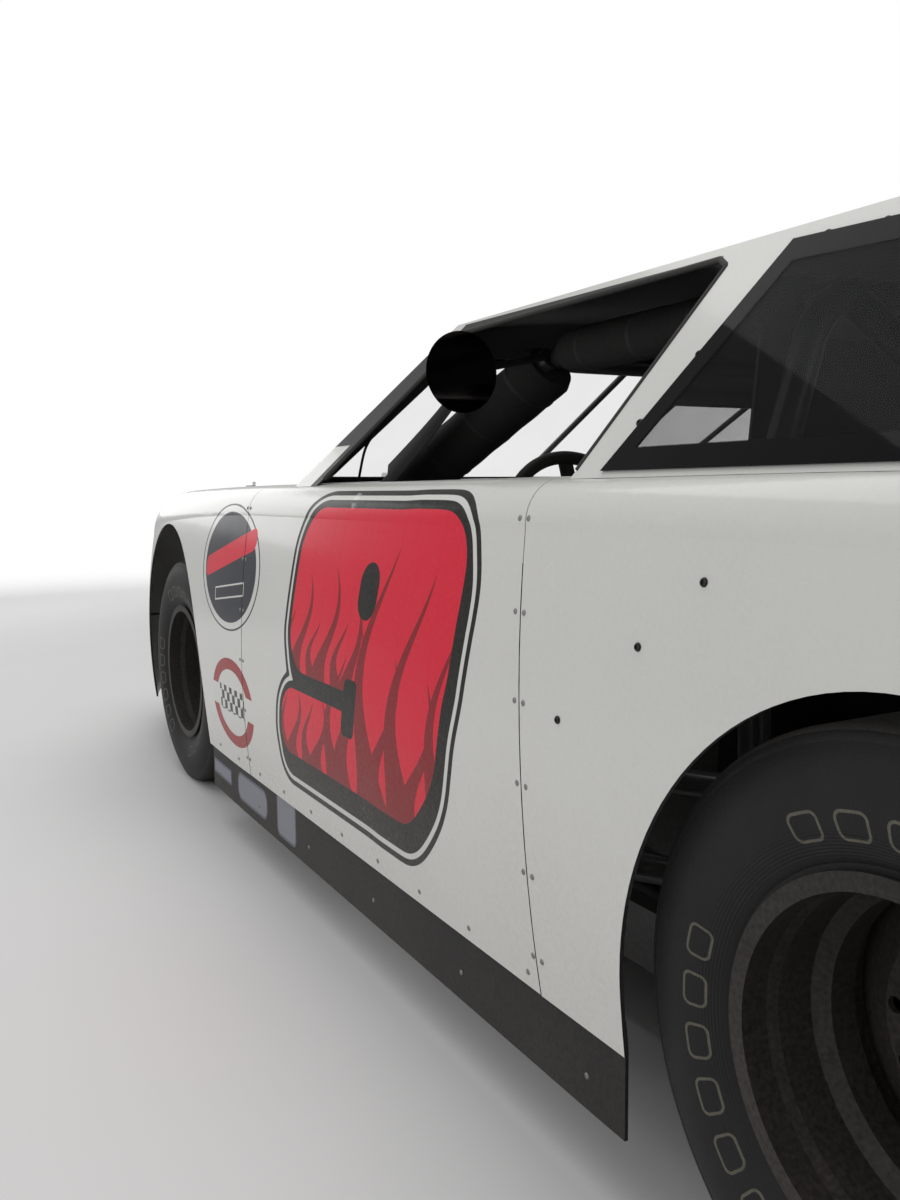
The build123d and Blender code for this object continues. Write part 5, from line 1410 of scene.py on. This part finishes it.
class STOCKCAR_OT_cockpit(bpy.types.Operator):
    """Gauges, switches and the driver's belts"""

    bl_idname = "stockcar.cockpit"
    bl_label = "Cockpit"

    def execute(self, context):
        bezels, dials, switches, belts, latch = Shape(), Shape(), Shape(), Shape(), Shape()
        for x, z, size in GAUGES:
            for shape, profile in ((bezels, BEZEL), (dials, DIAL)):
                points, faces = lathe(profile, 32)
                place = set_on(points * (size, size, 1.0), (x, DASH_FACE, z), (0, 1, 0))
                shape.add(place, faces, points[:, :2])
        for x in SWITCH_PLACES:
            switches.turn(LEVER, 14, (x, DASH_FACE, SWITCH_HEIGHT), (0, 1, 0.35))
        webbing = band(BELT_WIDTH, BELT_THICKNESS)
        for side in (-1, 1):
            belts.sweep(harness_path(side * HARNESS_OFF), webbing, up=(0, -1, 0.5))
        for side in (-1, 1):
            lap = [cushion(side * off, y, lift) for off, y, lift in LAP_SPOTS]
            belts.sweep(smooth_path(lap, 8), webbing, up=(0, -0.3, 1))
        latch.turn(LATCH, 28, cushion(0.0, 0.562, 0.018), (0, -0.3, 1))
        bezels.build("gauge_bezels", "bright_steel", "chassis")
        dials.build("gauge_dials", "gauge_face", "chassis")
        switches.build("dash_switches", "bright_steel", "chassis")
        belts.build("seat_belts", "belt_webbing", "chassis", 60.0)
        latch.build("belt_latch", "bright_steel", "chassis")
        return {"FINISHED"}


VALVE_REACH = 0.178
VALVE_ANGLE = 0.9
VALVE = (
    (0.0055, -0.004), (0.0055, 0.004), (0.0040, 0.008), (0.0036, 0.026), (0.0048, 0.027),
    (0.0048, 0.036), (0.003, 0.038), (0, 0.038),
)
CALIPER_REACH = 0.128
CALIPER_INSET = 0.098
# A caliper's arc in degrees: its span and its start on the front and rear wheels
CALIPER_SPAN = 58
CALIPER_START_FRONT = 115
CALIPER_START_REAR = 150


def caliper(side, axle, track, first):
    """Two pads' housings on both sides of a disc and a bridge over its rim, along the arc
    (axle + r cos a, axle height + r sin a) from the angle first on."""
    shape = Shape()
    turn = np.radians(np.linspace(first, first + CALIPER_SPAN, 16))
    radial = np.stack([np.zeros(16), np.cos(turn), np.sin(turn)], axis=-1)
    arc = np.array([side * (track - CALIPER_INSET), axle, AXLE_HEIGHT]) + CALIPER_REACH * radial
    for off in (-0.027, 0.027):
        shape.sweep(arc + (off, 0, 0), rounded_section(0.026, 0.062, 0.007), up=radial)
    bridge = (arc + 0.0335 * radial)[3:13]
    shape.sweep(bridge, rounded_section(0.060, 0.014, 0.004), up=radial[3:13])
    return shape


class STOCKCAR_OT_wheel_fittings(bpy.types.Operator):
    """Valve stems on the wheels, calipers on the discs"""

    bl_idname = "stockcar.wheel_fittings"
    bl_label = "Wheel fittings"

    def execute(self, context):
        for name, side, axle, track, carrier in WHEELS:
            back, lift = VALVE_REACH * math.cos(VALVE_ANGLE), VALVE_REACH * math.sin(VALVE_ANGLE)
            start = (side * BESIDE, axle + back, AXLE_HEIGHT + lift)
            place, normal = surface("wheel_" + name, start, (-side, 0, 0))
            valve = Shape()
            valve.turn(VALVE, 14, place, normal * 0.4 + np.array([side, 0.0, 0.0]))
            valve.build("valve_" + name, "black_rubber", "wheel_" + name)
            first = CALIPER_START_REAR if carrier == "chassis" else CALIPER_START_FRONT
            caliper(side, axle, track, first).build("caliper_" + name, "caliper_paint", carrier)
        return {"FINISHED"}


COVER_START = (0.2185, -1.400, 0.716)
COVER_STOP = (0.2185, -0.860, 0.716)
COVER_RIB = ((0.192, 0.7455), (0.245, 0.7455))
COVER_RIB_RADIUS = 0.004
PORTS = (-1.37, -1.23, -1.09, -0.95)
PLUGS = (-1.36, -1.22, -1.08, -0.94)
HEADER_RADIUS = 0.021
LEAD_RADIUS = 0.0042
CAP_PLACE = (0.0, -0.870, 0.690)
CAP = ((0.040, 0.0), (0.040, 0.030), (0.034, 0.055), (0.020, 0.062), (0, 0.062))
DRIVE_PLACE = -1.470
# Pulleys: x, z and radius. Their profile is in shares of the radius
PULLEYS = ((0.0, 0.330, 0.078), (0.0, 0.560, 0.062), (0.205, 0.600, 0.036))
PULLEY = (
    (0.0, -0.030), (0.6, -0.016), (1.0, -0.014), (0.90, -0.004), (0.90, 0.004), (1.0, 0.014), (0.6, 0.016),
    (0.0, 0.016),
)
BELT_SHARE = 0.93
HOSE_RADIUS = 0.021
HOSES = (
    (
        (0.0, -1.420, 0.700), (-0.02, -1.560, 0.715), (-0.18, -1.820, 0.690), (-0.240, -1.990, 0.652),
        (-0.240, -2.055, 0.645),
    ),
    ((0.13, -1.435, 0.400), (0.20, -1.580, 0.400), (0.260, -1.820, 0.360), (0.260, -2.055, 0.345)),
)


def header_pipe(index, place):
    """Spots along the left bank's pipe from a port at place down to the collector."""
    return np.array([
        (0.258, place, 0.560), (0.300, place + 0.006, 0.555),
        (0.325, place + 0.040 - 0.014 * index, 0.500), (0.322, -1.115 + 0.010 * index, 0.435),
        (0.262 + 0.012 * index, -1.120, 0.415),
    ])


def plug_lead(place):
    """Spots along a lead of the left bank from the cap over the valve cover to a plug at place.
    Leads of plugs that lie further back run higher."""
    rank = (place - PLUGS[0]) * 0.03
    return np.array([
        (0.018, -0.870, 0.748), (0.070, -0.868, 0.785), (0.200, -0.870, 0.770 + rank),
        (0.262, -0.905, 0.740 + rank), (0.272, place + 0.05, 0.720 + rank),
        (0.275, place, 0.690), (0.266, place, 0.650),
    ])


def turns_left(first, second, third):
    """Twice the signed area of a triangle of flat points."""
    a, b = second - first, third - first
    return a[0] * b[1] - a[1] * b[0]


def belt_outline(wheels, steps=14):
    """The tight line round circles (x, z, radius): the outer hull of points on them, found half
    by half in the order of x, with points added on its straight runs."""
    points = np.concatenate([circle(radius, 4 * steps) + (x, z) for x, z, radius in wheels])
    points = points[np.lexsort((points[:, 1], points[:, 0]))]

    def half(run):
        kept = []
        for point in run:
            while len(kept) > 1 and turns_left(kept[-2], kept[-1], point) <= 1e-12:
                kept.pop()
            kept.append(point)
        return kept[:-1]

    hull = half(points) + half(points[::-1])
    dense = []
    for start, stop in zip(hull, hull[1:] + hull[:1]):
        count = max(1, int(np.linalg.norm(stop - start) / 0.02))
        dense += [start + (stop - start) * k / count for k in range(count)]
    return np.array(dense)


class STOCKCAR_OT_engine_dress(bpy.types.Operator):
    """Valve covers, headers, belt, hoses and leads round the engine"""

    bl_idname = "stockcar.engine_dress"
    bl_label = "Engine dress"

    def execute(self, context):
        covers, ribs, headers, leads = Shape(), Shape(), Shape(), Shape()
        share = np.linspace(0, 1, 12)
        swell = 1 - 0.14 * np.exp(-share / 0.03) - 0.14 * np.exp((share - 1) / 0.03)
        cover = rounded_section(0.072, 0.060, 0.014)[None] * swell[:, None, None]
        points, faces = lathe(CAP, 24)
        leads.add(points + np.array(CAP_PLACE), faces)
        for side in (1, -1):
            mirror = (side, 1, 1)
            covers.sweep(line(COVER_START, COVER_STOP, 12) * mirror, cover, up=(0, 0, 1))
            for place in np.linspace(-1.34, -0.92, 9):
                rib = np.array([(x, place, z) for x, z in COVER_RIB])
                ribs.sweep(rib * mirror, circle(COVER_RIB_RADIUS, 8))
            for index, place in enumerate(PORTS):
                path = smooth_path(header_pipe(index, place) * mirror, 10)
                headers.sweep(path, circle(HEADER_RADIUS, 14))
            for place in PLUGS:
                leads.sweep(smooth_path(plug_lead(place) * mirror, 8), circle(LEAD_RADIUS, 8))
        covers.build("valve_covers", "cast_alloy", "chassis")
        ribs.build("valve_cover_ribs", "cast_alloy", "chassis", 60.0)
        headers.build("headers", "pipe_steel", "chassis", 60.0)
        leads.build("plug_leads", "lead_red", "chassis", 60.0)

        pulleys, belt, hoses = Shape(), Shape(), Shape()
        for x, z, radius in PULLEYS:
            profile = [(share * radius, height) for share, height in PULLEY]
            pulleys.turn(profile, 32, (x, DRIVE_PLACE, z), (0, -1, 0))
        outline = belt_outline([(x, z, radius * BELT_SHARE) for x, z, radius in PULLEYS])
        path = np.insert(outline, 1, DRIVE_PLACE, axis=1)
        belt.sweep(path, rounded_section(0.007, 0.016, 0.002, 2), up=(0, 1, 0), closed=True)
        for hose in HOSES:
            hoses.sweep(smooth_path(hose, 12), circle(HOSE_RADIUS, 16))
        pulleys.build("pulleys", "sheet_aluminium", "chassis")
        belt.build("drive_belt", "black_rubber", "chassis", 60.0)
        hoses.build("radiator_hoses", "black_rubber", "chassis", 60.0)
        return {"FINISHED"}


class STOCKCAR_PT_panel(bpy.types.Panel):
    """Sidebar panel that lists the steps"""

    bl_idname = "STOCKCAR_PT_panel"
    bl_label = "Stock car"
    bl_space_type = "VIEW_3D"
    bl_region_type = "UI"
    bl_category = "Stock car"

    def draw(self, context):
        scene = context.scene
        for settings in (scene.stockcar_paint, scene.stockcar_detail, scene.stockcar_stage):
            for name in settings.__annotations__:
                self.layout.prop(settings, name)
        for step in STEPS:
            self.layout.operator(step.bl_idname)


STEPS = (
    STOCKCAR_OT_finishes, STOCKCAR_OT_fasteners, STOCKCAR_OT_window_trim, STOCKCAR_OT_padding,
    STOCKCAR_OT_springs, STOCKCAR_OT_cockpit, STOCKCAR_OT_wheel_fittings, STOCKCAR_OT_engine_dress,
    STOCKCAR_OT_stage,
)
CLASSES = (PaintSettings, DetailSettings, StageSettings, *STEPS, STOCKCAR_PT_panel)


def register():
    """Add the settings, the operators and the panel"""
    for kind in CLASSES:
        bpy.utils.register_class(kind)
    bpy.types.Scene.stockcar_paint = bpy.props.PointerProperty(type=PaintSettings)
    bpy.types.Scene.stockcar_detail = bpy.props.PointerProperty(type=DetailSettings)
    bpy.types.Scene.stockcar_stage = bpy.props.PointerProperty(type=StageSettings)


def unregister():
    """Take them away again"""
    del bpy.types.Scene.stockcar_paint
    del bpy.types.Scene.stockcar_detail
    del bpy.types.Scene.stockcar_stage
    for kind in reversed(CLASSES):
        bpy.utils.unregister_class(kind)


def main():
    """Run every step"""
    register()
    for step in STEPS:
        group, name = step.bl_idname.split(".")
        getattr(getattr(bpy.ops, group), name)()


if __name__ == "__main__":
    main()
